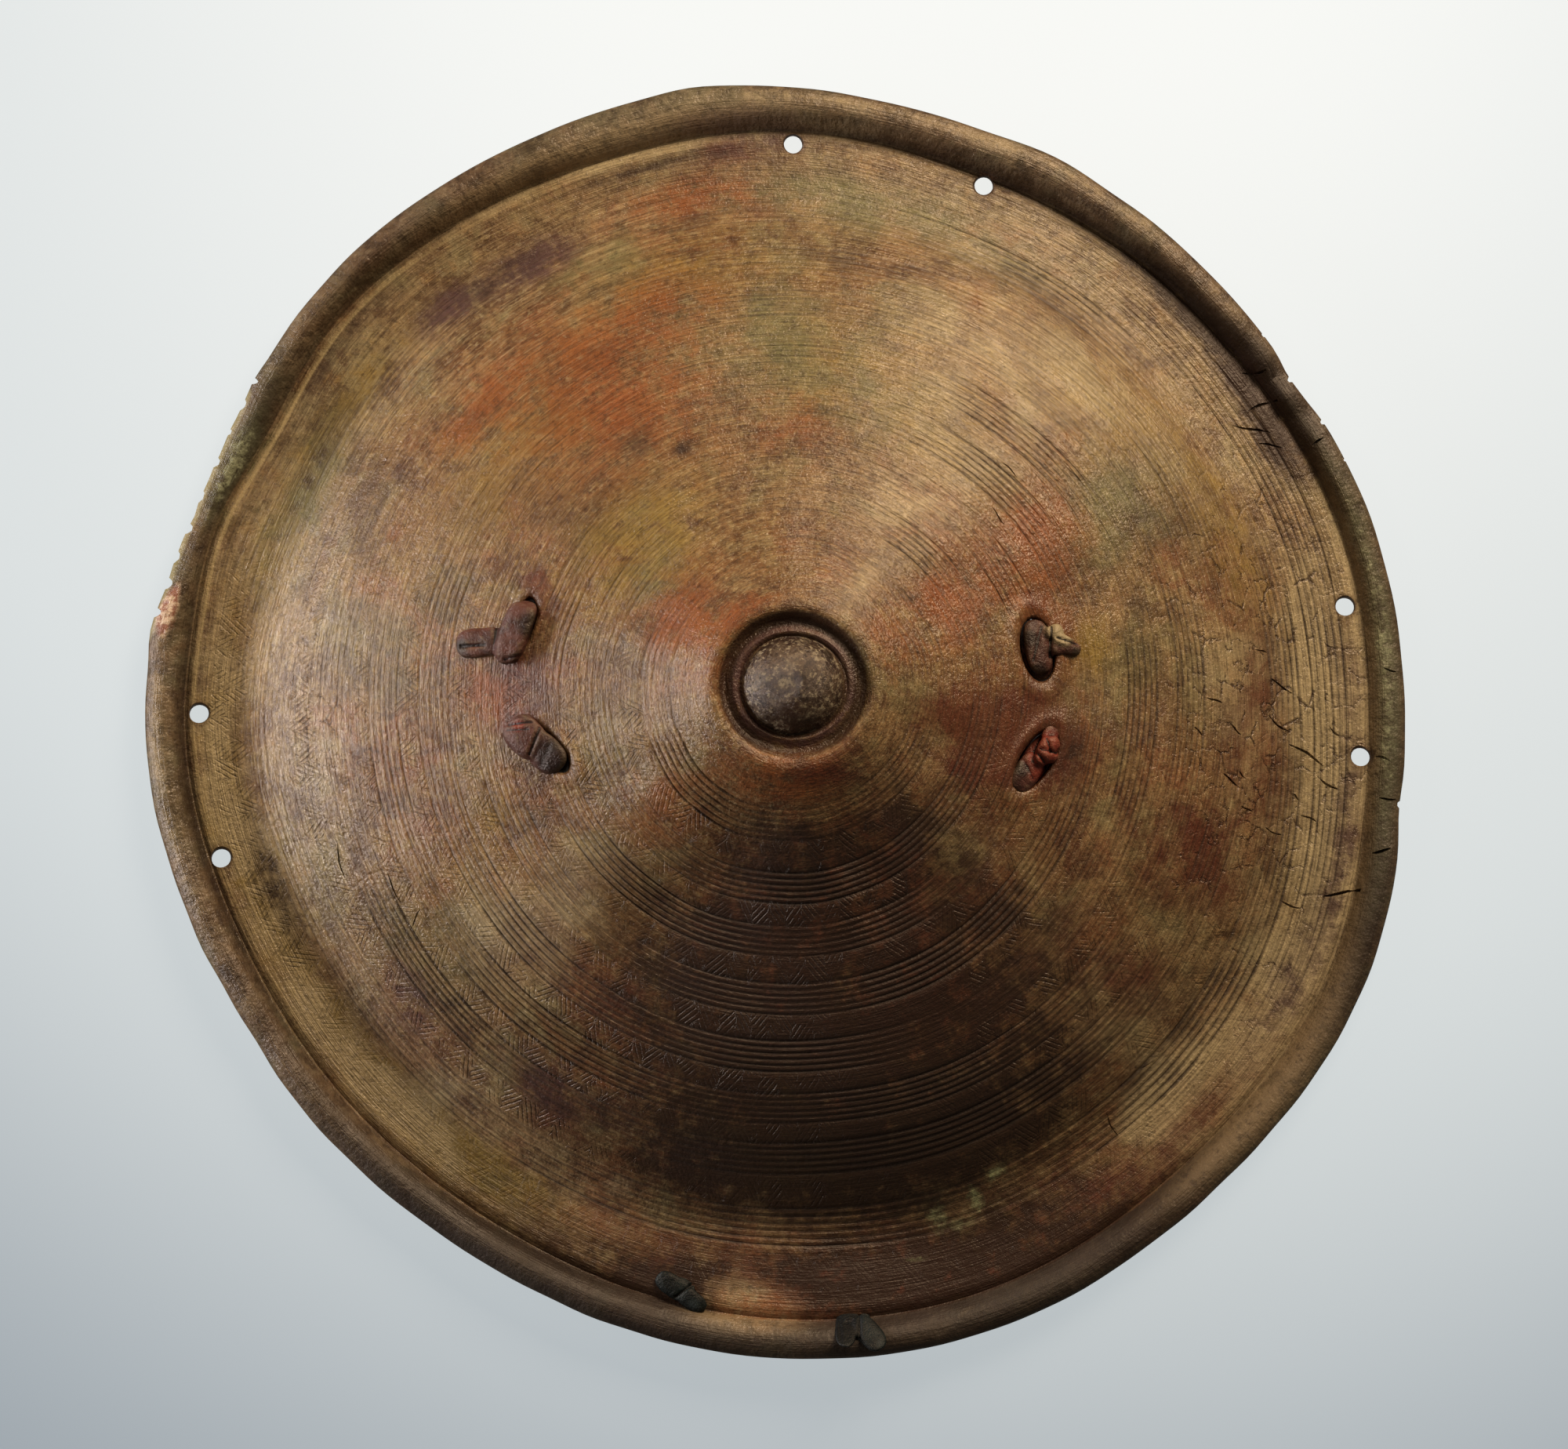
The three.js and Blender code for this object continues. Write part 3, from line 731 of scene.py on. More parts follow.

# %% [markdown]
# ## Worn, tooled and hidden
#
# Other things to know about a point: how deep in a groove it is (dirt sits there, and painted shade),
# whether it is in one of the plain rings that were hatched with a pointed tool, whether it is on the boss,
# in the moat (painted shade), on the lip's crest (a painted highlight), at a cut edge, or behind, where the
# flesh side is plain. The crease inside the lip gets painted shade, and the flange's edge beside it a
# painted highlight. The shoulder at the left is polished, the right and the left are dry enough to be
# crazed, and a stretch of the lip at the left is torn to raw hide.

# %% Tooling
# The rings between the bands: middle and half width.
PLAIN_RINGS = [(57, 5), (76, 4), (95, 4.5), (114, 4), (133.5, 4), (150.5, 3.5), (170, 4), (195.5, 6)]
hatch = sum(1 - ease(half - 1, half + 1, np.abs(ring - at)) for at, half in PLAIN_RINGS)
patches = np.clip(0.7 + 0.5 * wander(theta, ring, 51, (2, 12), 18), 0, 1)
patches = patches * (0.12 + 0.88 * np.clip(hump(theta, 262, 62) + 0.7 * hump(theta, 190, 26), 0, 1))
patches = patches * (1 - 0.75 * ease(186, 190, ring) * hump(theta, 275, 60))
near_slot = np.max([np.exp(-((in_slot(x, y, slot) / 1.5) ** 4)) for slot in SLOTS.values()], axis=0)
holes = [(d * math.cos(math.radians(a)), d * math.sin(math.radians(a))) for d, a in LACE_HOLES]
near_hole = np.max([np.exp(-((np.hypot(x - hx, y - hy) / 5.5) ** 4)) for hx, hy in holes], axis=0)
paint(hide, "groove", np.clip(groove(ring, theta), 0, 1.5) * (1 - behind))
paint(hide, "hatch", hatch * patches * (1 - behind))
paint(hide, "boss", 1 - ease(16.8, 17.6, ring))
# painted shade in the moat round the boss, weaker below where its outer wall faces the light, and a dark
# line of painted shade at the foot of the dome
moat = np.exp(-(((ring - 23) / 2.5) ** 4)) * (1 - 0.5 * hump(theta, 270, 40))
paint(hide, "moat", moat + 0.9 * np.exp(-(((ring - 17.7) / 0.6) ** 2)))
outer = ease(140, 200, ring) * (1 - 0.8 * hump(theta, 275, 50)) * (1 - 0.6 * hump(theta, 110, 30))
paint(hide, "outer", outer)
dry = 1.1 * np.exp(-(((ring - 172) / 42) ** 4)) * hump(theta, 2, 38)
dry = dry + 0.8 * hump(theta, 186, 22) * np.exp(-(((ring - 165) / 14) ** 2))
paint(hide, "dry", np.clip(dry, 0, 1.3) * (1 - behind))
# painted shade in the crease inside the lip, stronger and reaching further up the lip's inner wall (broad)
# in the three directions where that wall lies in shade
crease_shade = 0.25 + 0.75 * np.clip(hump(theta, 70, 18) + 0.4 * hump(theta, 138, 16) + hump(theta, 190, 26), 0, 1)
broad = 4.0 * np.clip(hump(theta, 70, 18) + hump(theta, 138, 16) + hump(theta, 190, 30), 0, 1)
crease = ease(209.0, 210.0, ring) * (1 - ease(210.4, 213.2 + broad, ring)) * crease_shade
paint(hide, "crease", crease * (1 - behind))
# a painted highlight: a pale line on the flange's edge at the crease, on the upper left where that edge
# faces the light
paint(hide, "crease_edge_highlight", np.exp(-(((ring - 207.6) / 0.9) ** 2)) * hump(theta, 160, 50) * (1 - behind))
paint(hide, "lip", ease(210, 212, ring) * (1 - behind))
# a painted highlight along the lip's crest, strongest in the directions where the lights fall on it
lit_crest = np.clip(hump(theta, 80, 30) + 0.9 * hump(theta, 188, 16) + 0.3 * hump(theta, 20, 30), 0, 1)
paint(hide, "crest_highlight", np.exp(-(((ring - 220.5) / 2.4) ** 2)) * lit_crest * (1 - behind))
torn = ease(147.5, 149.5, np.degrees(theta)) * (1 - ease(172.5, 175, np.degrees(theta)))
bitten = np.maximum(0, 1 - (outward(MEAN_RADIUS, theta) - np.hypot(x, y)) / 4) * torn
laid_bare = 1.2 * np.exp(-(((ring - 220) / 4) ** 2)) * hump(theta, 170.5, 2.8)
polished = np.exp(-(((ring - 168) / 13) ** 2)) * hump(theta, 182, 34)
paint(hide, "raw", np.clip(laid_bare, 0, 1) * (1 - behind))
paint(hide, "bitten", np.clip(bitten, 0, 1) * (1 - behind))
paint(hide, "edge", np.clip(near_slot + near_hole, 0, 1) * (1 - behind))
paint(hide, "behind", behind)
paint(hide, "polished", polished)
paint(hide, "turned", np.stack([np.cos(theta), np.sin(theta), ring], axis=1), "FLOAT_VECTOR")

# %% Map for the hatching
# u counts strokes round each ring, a whole number to the turn, and v is the distance from the ring's middle.
STROKE_PITCH = 2.0
corner = np.empty(len(hide.data.loops), int)
hide.data.loops.foreach_get("vertex_index", corner)
size = np.empty(len(hide.data.polygons), int)
hide.data.polygons.foreach_get("loop_total", size)
face_of = np.repeat(np.arange(len(size)), size)
starts = np.concatenate([[0], np.cumsum(size)[:-1]])
face_theta = theta[corner[starts]]
face_ring = np.add.reduceat(ring[corner], starts) / size
ring_middles = np.array([at for at, _ in PLAIN_RINGS])
nearest = np.abs(face_ring[:, None] - ring_middles).argmin(axis=1)
strokes = np.round(2 * math.pi * ring_middles / STROKE_PITCH)[nearest]
turn = face_theta[face_of] + np.angle(np.exp(1j * (theta[corner] - face_theta[face_of])))
stroke_map = np.stack([
    turn * strokes[face_of] / (2 * math.pi),
    ring[corner] - ring_middles[nearest][face_of],
], axis=1)
hide.data.uv_layers.new(name="strokes").data.foreach_set("uv", stroke_map.ravel())
print("hatched rings hold", sorted(set(strokes.astype(int)))[:8], "strokes")

# %% [markdown]
# ## The hide's finish
#
# The real surface is vegetable-tanned hide that has been oiled, smoked and handled until it took a dull
# polish. The material is built in the order a conservator would read it: the tanned ground colour, the
# stains laid over it, dirt in the tool marks, and pale marks where the lip and the flange stand up. Some of
# these are painted light: the soot and the dirt in the grooves are partly painted shade, the crease and the
# moat are painted shade, and the pale lip crest, the flange's edge at the crease and some tan spots are
# painted highlights.
#
# One function, `node`, adds a node, sets it and links it. `coats` lays thin colours over each other like a
# painter, and `heap` adds up patterns with weights. Patterns read Object coordinates, which are metres, so a
# feature of a few millimetres needs a scale in the hundreds; `per_mm` does that sum.

# %% Node helpers
def linear(colour):
    """A hex colour as it is seen, in the linear values that materials use."""
    channels = [int(colour[i:i + 2], 16) / 255 for i in (1, 3, 5)]
    return [c / 12.92 if c < 0.04045 else ((c + 0.055) / 1.055) ** 2.4 for c in channels] + [1.0]


def per_mm(size):
    """Pattern scale for features about that many millimetres across."""
    return 1 / (size * MM)


def node(tree, kind, inputs=None, out=0, **settings):
    """Adds a node, fills or links its inputs (by name or number) and returns one of its outputs."""
    made = tree.nodes.new("ShaderNode" + kind)
    for name, value in settings.items():
        setattr(made, name, value)
    for name, value in (inputs or {}).items():
        if isinstance(value, bpy.types.NodeSocket):
            tree.links.new(value, made.inputs[name])
        elif isinstance(value, str):
            made.inputs[name].default_value = linear(value)
        else:
            made.inputs[name].default_value = value
    return made.outputs[out] if made.outputs else None


def coats(tree, colour, layers):
    """Colours over each other: what each follows, from where to where it grows, how much, which colour."""
    for follows, low, high, most, tone in layers:
        share = node(tree, "MapRange", {0: follows, 1: low, 2: high, 3: 0.0, 4: most},
                     interpolation_type="SMOOTHSTEP")
        colour = node(tree, "Mix", {0: share, 6: colour, 7: tone}, out=2, data_type="RGBA")
    return colour


def heap(tree, parts):
    """Patterns added up, each times its weight, which may be a pattern too."""
    total = 0.0
    for pattern, weight in parts:
        total = node(tree, "Math", {0: pattern, 1: weight, 2: total}, operation="MULTIPLY_ADD")
    return total


def finish(name, build, **sockets):
    """A material whose shader takes its colour, roughness and relief (in mm) from build(tree)."""
    material = bpy.data.materials.new(name)
    material.use_nodes = True
    tree = material.node_tree
    tree.nodes.clear()
    colour, roughness, height = build(tree)
    relief = node(tree, "Bump", {"Strength": 1.0, "Distance": MM, "Height": height})
    skin = {"Base Color": colour, "Roughness": roughness, "Normal": relief} | sockets
    node(tree, "OutputMaterial", {"Surface": node(tree, "BsdfPrincipled", skin)})
    print(name, "has", len(tree.nodes), "nodes")
    return material


# %% [markdown]
# ## Ground colour and stains
#
# Tanned hide is never one colour. Browns drift into each other over a few centimetres, and a pull of streaks
# follows the turning, because the hide was rubbed round and round. The streaks are noise on the "turned"
# vector: its first two parts go round the shield with no seam and its third is the distance from the boss,
# stretched so that the noise is long along the turn and short across it.

# %% Patterns in the hide
# Name: size in mm, detail, roughness, warp.
CLOUDS = {
    "broad": (70, 3, 0.6, 0.6), "drift": (34, 3, 0.62, 0.4), "patch": (19, 5, 0.7, 0.3),
    "ragged": (9, 4, 0.74, 0.0), "speck": (3.8, 3, 0.75, 0.0), "fleck": (2.1, 2, 0.75, 0.0),
    "grain": (1.0, 1, 0.6, 0.0),
}
# Name: how often it changes round the turn, and per mm outwards, and detail.
PULLS = {"streak": (5, 1.3, 3), "hair": (30, 1.9, 2), "wrinkle": (60, 0.25, 2)}
# Kind, colour, how much it covers, and which pattern breaks it up.
STAIN_COLOURS = [
    ("ochre", "#80662a", 0.7, "ragged"), ("olive", "#66613a", 0.7, "patch"),
    ("tan", "#a68e65", 0.75, "drift"), ("russet", "#7c3d18", 0.7, "ragged"),
    ("crimson", "#512014", 0.75, "patch"), ("plum", "#40282a", 0.8, "ragged"),
    ("soot_and_shade", "#1f0f08", 0.92, "ragged"), ("moss", "#8a875c", 0.95, "speck"),
]


def hide_patterns(tree):
    """Everything the hide's colour and relief follow: what was painted on it, and noise of each size."""
    seen = {layer.name: node(tree, "Attribute", out=2, attribute_name=layer.name)
            for layer in hide.data.attributes if layer.data_type == "FLOAT"}
    here = node(tree, "TexCoord", out=3)
    for name, (size, detail, roughness, warp) in CLOUDS.items():
        seen[name] = node(tree, "TexNoise", {"Vector": here, "Scale": per_mm(size), "Detail": detail,
                                             "Roughness": roughness, "Distortion": warp})
    turned = node(tree, "Attribute", out=1, attribute_name="turned")
    for name, (around, across, detail) in PULLS.items():
        pulled = node(tree, "VectorMath", {0: turned, 1: (around, around, across)}, operation="MULTIPLY")
        seen[name] = node(tree, "TexNoise", {"Vector": pulled, "Scale": 1.0, "Detail": detail,
                                             "Roughness": 0.68})
    return seen


# %% [markdown]
# The hatching was scratched with a pointed tool between the bands of grooves, stroke beside stroke, leaning
# one way and then the other. Its map counts the strokes, so a sine of that count draws them, and `lean`
# slants them from field to field.

# %% Hatching
STROKES_TO_A_FIELD = 7.0


def hatch_strokes(tree, seen):
    """1 in a stroke, 0 between strokes."""
    counted = node(tree, "SeparateXYZ", {0: node(tree, "UVMap", uv_map="strokes")}).node.outputs
    field = heap(tree, [(counted[0], 2 * math.pi / STROKES_TO_A_FIELD), (seen["drift"], 9.0)])
    field = node(tree, "Math", {0: field}, operation="SINE")
    lean = node(tree, "MapRange", {0: field, 1: -0.2, 2: 0.2, 3: -0.36, 4: 0.36})
    phase = heap(tree, [(counted[0], 2 * math.pi), (heap(tree, [(counted[1], lean)]), 2 * math.pi),
                        (seen["patch"], 5.0)])
    stroke = node(tree, "MapRange", {0: node(tree, "Math", {0: phase}, operation="SINE"), 1: 0.1, 2: 0.9},
                  interpolation_type="SMOOTHSTEP")
    pressed = node(tree, "MapRange", {0: seen["ragged"], 1: 0.4, 2: 0.62}, interpolation_type="SMOOTHSTEP")
    return heap(tree, [(stroke, heap(tree, [(seen["hatch"], pressed)]))])


# %% [markdown]
# Where the hide has dried out it is crazed with hair cracks. They are the seams between the cells of a
# Voronoi pattern, bent a little, and only some of the seams have opened.

# %% Dry cracks
CRAZING_CELL = 10
CRAZING_BEND = 0.01


def dry_cracks(tree, seen):
    """1 in the hair cracks of the dry parts: the seams between the cells of a Voronoi pattern."""
    here = node(tree, "TexCoord", out=3)
    bent = node(tree, "VectorMath", {0: seen["patch"], 1: [CRAZING_BEND] * 3, 2: here},
                operation="MULTIPLY_ADD")
    cells = node(tree, "TexVoronoi", {"Vector": bent, "Scale": per_mm(CRAZING_CELL)},
                 feature="DISTANCE_TO_EDGE")
    seam = node(tree, "MapRange", {0: cells, 1: 0.075, 2: 0.0})
    patchy = node(tree, "MapRange", {0: seen["ragged"], 1: 0.45, 2: 0.6})
    return heap(tree, [(seam, heap(tree, [(seen["dry"], patchy)]))])


# %% [markdown]
# Streaks and flecks lie over the stains, then come the tool marks: dirt fills the hatching, and dirt with
# painted shade fills the grooves. At the upper left a painted highlight runs along the flange's edge just
# inside the crease, and the crease and the moat get painted shade. The lip is darker, wrinkled across and
# carries a painted highlight along its crest; the boss is mottled; where the lip is torn the raw hide shows;
# the flesh side behind is plain.

# %% Colours of the lip and the boss
def lip_colour(tree, seen):
    """The rolled lip: greasy brown, with a painted highlight along its crest and grey-green mould in two
    places.
    """
    # the painted highlight on the crest, broken up by noise
    crest_highlight_breakup = node(tree, "MapRange", {0: seen["patch"], 1: 0.34, 2: 0.6, 3: 0.1, 4: 0.8})
    worn = heap(tree, [(seen["crest_highlight"], crest_highlight_breakup)])
    mould = heap(tree, [(seen["olive"], seen["speck"])])
    rot = heap(tree, [(seen["olive"], seen["patch"])])
    return coats(tree, "#3b291c", [
        (seen["ragged"], 0.36, 0.64, 1.0, "#58432e"), (seen["drift"], 0.46, 0.62, 0.6, "#4f4a34"),
        (seen["patch"], 0.5, 0.66, 0.75, "#6f5a3f"), (seen["patch"], 0.47, 0.35, 0.75, "#24180f"),
        (seen["speck"], 0.5, 0.7, 0.45, "#6f5e46"), (worn, 0.0, 1.0, 1.0, "#8f7954"),
        (seen["wrinkle"], 0.56, 0.36, 0.35, "#20150d"), (seen["soot_and_shade"], 0.1, 0.9, 0.85, "#140d09"),
        (seen["tan"], 0.2, 1.0, 0.7, "#7c6445"), (seen["plum"], 0.2, 1.0, 0.6, "#3a2422"),
        (seen["olive"], 0.3, 1.0, 0.6, "#56533a"), (mould, 0.42, 0.66, 0.8, "#8b8763"),
        (rot, 0.5, 0.7, 0.8, "#241c13"),
        (seen["ragged"], 0.48, 0.36, 0.5, "#20170f"), (seen["speck"], 0.47, 0.34, 0.5, "#221810"),
    ])


def boss_colour(tree, seen):
    """The boss: very dark brown, with the grain rubbed pale in flecks."""
    return coats(tree, "#30221a", [
        (seen["ragged"], 0.44, 0.6, 0.8, "#4a3929"), (seen["speck"], 0.5, 0.6, 0.5, "#685742"),
        (seen["fleck"], 0.53, 0.66, 0.55, "#918063"), (seen["fleck"], 0.47, 0.34, 0.7, "#1e150e"),
        (seen["patch"], 0.52, 0.62, 0.7, "#1d140d"), (seen["russet"], 0.2, 1.0, 0.5, "#6d4630"),
    ])


# %% Colour of the hide
def hide_colour(tree, seen, stroke, crazing):
    """Tanned ground, stains, streaks, dirt and painted shade in the tool marks, painted shade and highlights
    at the crease, moat and lip, and the lip, the boss and the back.
    """
    colour = coats(tree, "#6b4828", [
        (seen["broad"], 0.38, 0.62, 1.0, "#7a5c39"), (seen["drift"], 0.5, 0.64, 0.65, "#6c603c"),
        (seen["drift"], 0.47, 0.34, 0.65, "#754326"), (seen["outer"], 0.0, 1.0, 0.55, "#8c7856"),
        (seen["patch"], 0.47, 0.62, 0.75, "#472a16"), (seen["patch"], 0.43, 0.3, 0.5, "#8f794f"),
        (seen["ragged"], 0.52, 0.68, 0.5, "#8a643b"), (seen["ragged"], 0.47, 0.32, 0.6, "#3e2412"),
        (seen["speck"], 0.52, 0.68, 0.45, "#93774a"), (seen["speck"], 0.46, 0.32, 0.35, "#3e2412"),
        (seen["hair"], 0.5, 0.72, 0.34, "#ad9469"), (seen["fleck"], 0.44, 0.3, 0.24, "#ad966c"),
        (seen["ragged"], 0.62, 0.76, 0.3, "#a58c5c"),
    ])
    for kind, tint, cover, breaks in STAIN_COLOURS:
        uneven = node(tree, "MapRange", {0: seen[breaks], 1: 0.3, 2: 0.7, 3: 0.3, 4: 1.65})
        stain = heap(tree, [(seen[kind], uneven)])
        colour = coats(tree, colour, [(stain, 0.12, 0.95, cover, tint)])
    # dirt in the grooves, and painted shade there too: the shallow grooves cast little shade of their own
    uneven = node(tree, "MapRange", {0: seen["patch"], 1: 0.3, 2: 0.62, 3: 0.45, 4: 1.05})
    groove_dirt_and_shade = heap(tree, [(seen["groove"], uneven)])
    raw = heap(tree, [(seen["raw"], 1.0), (seen["ragged"], 0.8)])
    raw_hide = coats(tree, "#7d4d38", [(seen["speck"], 0.4, 0.6, 1.0, "#b99a7a")])
    flesh_side = coats(tree, "#5a4330", [(seen["patch"], 0.35, 0.65, 1.0, "#6f5740")])
    # the crease and the moat here are painted shade, and the pale line at the crease's edge a painted
    # highlight
    return coats(tree, colour, [
        (seen["streak"], 0.64, 0.36, 0.42, "#2a180d"), (seen["hair"], 0.45, 0.3, 0.34, "#26160c"),
        (seen["fleck"], 0.54, 0.68, 0.38, "#26170d"), (groove_dirt_and_shade, 0.2, 1.0, 0.88, "#1d110a"),
        (stroke, 0.0, 1.0, 0.6, "#1d110a"), (crazing, 0.1, 0.8, 0.75, "#241109"),
        (seen["crease_edge_highlight"], 0.1, 1.0, 0.6, "#b09563"), (seen["lip"], 0.2, 0.9, 0.85, lip_colour(tree, seen)),
        (seen["crease"], 0.05, 0.95, 0.75, "#1a0f0a"), (seen["bitten"], 0.3, 0.9, 0.6, "#8d7f55"),
        (raw, 0.75, 1.2, 0.85, raw_hide), (seen["edge"], 0.3, 0.95, 0.6, "#3a2010"),
        (seen["boss"], 0.0, 1.0, 1.0, boss_colour(tree, seen)), (seen["moat"], 0.1, 0.8, 0.85, "#23120d"),
        (seen["behind"], 0.0, 1.0, 1.0, flesh_side),
    ])


# %% [markdown]
# Relief too fine for the mesh is bump, given in real millimetres: pores, the hatching strokes, streaks along
# the turn, and short wrinkles across the lip. Where soot and grease have filled the pores, and under the
# painted shade that shares the soot's map, the relief is shallower. Grooves, soot and that painted shade,
# the lip and the flesh side are duller; the boss and the polished shoulder are shinier.

# %% Moulded hide
def oiled_hide(tree):
    """Dull polish: oiled, smoked and handled hide."""
    seen = hide_patterns(tree)
    stroke = hatch_strokes(tree, seen)
    crazing = dry_cracks(tree, seen)
    lip_wrinkle = heap(tree, [(seen["wrinkle"], seen["lip"])])
    height = heap(tree, [
        (seen["grain"], 0.18), (seen["fleck"], 0.2), (seen["speck"], 0.4), (seen["streak"], 0.44),
        (seen["hair"], 0.25), (stroke, -0.34), (crazing, -0.3), (lip_wrinkle, 0.6),
    ])
    filled = node(tree, "MapRange", {0: seen["soot_and_shade"], 1: 0.2, 2: 1.0, 3: 1.0, 4: 0.7})
    height = heap(tree, [(height, filled)])
    rough = node(tree, "MapRange", {0: seen["patch"], 1: 0.35, 2: 0.65, 3: 0.23, 4: 0.36})
    rough = heap(tree, [(rough, 1.0), (seen["groove"], 0.15), (seen["behind"], 0.3), (seen["boss"], -0.13),
                        (seen["lip"], 0.08), (seen["soot_and_shade"], 0.14), (seen["polished"], -0.11)])
    return hide_colour(tree, seen, stroke, crazing), rough, height


OILED = {"Specular IOR Level": 0.44, "Specular Tint": "#ffe6cc"}
hide.data.materials.clear()
hide.data.materials.append(finish("smoked_tanned_hide", oiled_hide, **OILED))

# %% [markdown]
# ## The grip strap
#
# The grip is one strip of thick hide that crosses the hollow for the hand. It is widest at its two ends,
# where it was split, and each of the four tongues was pushed out through a slot and folded over or plugged
# in front. The strip and the folds are modelled as overlapping solids first: `strap` draws a squared oval
# along a path and `wad` presses a squared ball onto the front. A voxel remesh then makes one skin of them,
# as if the damp hide had been worked by hand, and keeps the folds between them.

# %% Straps and wads
def strap(bm, points, boxy=0.5):
    """A strip of hide through points (x, y, z, width, thickness, direction of its width in degrees)."""
    places = [Vector(point[:3]) for point in points]
    frames = []
    for i, (*_, width, thick, turn) in enumerate(points):
        along = (places[min(i + 1, len(places) - 1)] - places[max(i - 1, 0)]).normalized()
        side = Vector((math.cos(math.radians(turn)), math.sin(math.radians(turn)), 0))
        side = (side - along * side.dot(along)).normalized()
        frame = Matrix((side * width / 2, along.cross(side) * thick / 2, along)).transposed().to_4x4()
        frames.append(Matrix.Translation(places[i]) @ frame)
    return sweep(bm, frames, 20, boxy)


def wad(bm, x, y, long, wide, high, turn, lift=0.0, tilt=0.0, boxy=0.75):
    """A folded lump on the front: lift raises it, tilt raises the side to the left of its direction."""
    made = bmesh.ops.create_icosphere(bm, subdivisions=4, radius=1)["verts"]
    for vert in made:
        vert.co = [math.copysign(abs(part) ** boxy, part) for part in vert.co]
        vert.co.z += tilt * vert.co.y * wide / 2 / high
    place = plan(x, y, float(front_height(x, y)) + lift, long, wide, turn) @ Matrix.Diagonal((1, 1, high, 1))
    bmesh.ops.transform(bm, matrix=place, verts=made)
    follow_front(made, x, y)


def press(piece, lines):
    """Pushes fold lines into a skin: (x, y) to (x, y), half width, depth, and above which height."""
    def mover(x, y, z):
        for x0, y0, x1, y1, half, depth, above in lines:
            run = ((x - x0) * (x1 - x0) + (y - y0) * (y1 - y0)) / ((x1 - x0) ** 2 + (y1 - y0) ** 2)
            run = np.clip(run, 0, 1)
            away = np.hypot(x - x0 - run * (x1 - x0), y - y0 - run * (y1 - y0))
            z = z - depth * np.exp(-((away / half) ** 2)) * (z > above)
        return x, y, z
    move_points(piece, mover)


def one_skin(name, bm, voxel, rounds):
    """Fuses a heap of overlapping solids into one smooth skin."""
    bmesh.ops.recalc_face_normals(bm, faces=bm.faces[:])
    bmesh.ops.scale(bm, vec=(MM, MM, MM), verts=bm.verts[:])
    piece = new_object(name, bm)
    skin = piece.modifiers.new("skin", "REMESH")
    skin.mode, skin.voxel_size, skin.use_smooth_shade = "VOXEL", voxel * MM, True
    soft = piece.modifiers.new("soft", "SMOOTH")
    soft.factor, soft.iterations = 0.5, rounds
    bake(piece)
    return piece


# %% Grip
GRIP_TURN, GRIP_MIDDLE = math.radians(-2.6), Vector((-3.2, -0.6, 0))
GRIP_ACROSS = 87.4
GRIP_HEIGHT = 49.4
# Half a split end: along and across the grip, height, width.
TONGUE = [
    (50, 11.5, GRIP_HEIGHT, 24), (62, 13.5, GRIP_HEIGHT, 25), (74, 17.5, GRIP_HEIGHT, 25),
    (84, 20, GRIP_HEIGHT, 26), (93, 21, 49.3, 24), (99, 21.5, 49.3, 15),
]


def on_grip(along, across, z):
    """A place on the strip, measured along and across the hand."""
    return Matrix.Rotation(GRIP_TURN, 3, "Z") @ Vector((along, across, z)) + GRIP_MIDDLE


raw = bmesh.new()
band = []
for along in np.linspace(-66, 66, 17):
    width = 36 + 16 * ease(20, 66, abs(along)) - 1.5 * math.cos(along / 9)
    sag = 3 * (1 - ease(24, 62, abs(along)))
    band.append((*on_grip(along, 0.6 * math.sin(along / 23), GRIP_HEIGHT - sag), width, HIDE, GRIP_ACROSS))
strap(raw, band, 0.45)
for side in (-1, 1):
    for up in (-1, 1):
        turn = GRIP_ACROSS + 4 * side * up
        strap(raw, [(*on_grip(side * a, up * b, z), w, 5.2, turn) for a, b, z, w in TONGUE], 0.5)

for name in ("upper_left", "lower_left", "upper_right", "lower_right"):
    x, y, long, wide, turn = SLOTS[name]
    top = float(front_height(x, y))
    # a neck from the strip up through the slot, filling it but for a hair
    neck = [(47.5, 1.15), (52, 1.1), (top - 6.5, 1.0), (top - 4.2, 1.0), (top - 3.0, 0.9)]
    strap(raw, [(x, y, z, (long - 0.8) * grow, (wide - 0.8) * grow, turn) for z, grow in neck], 0.9)

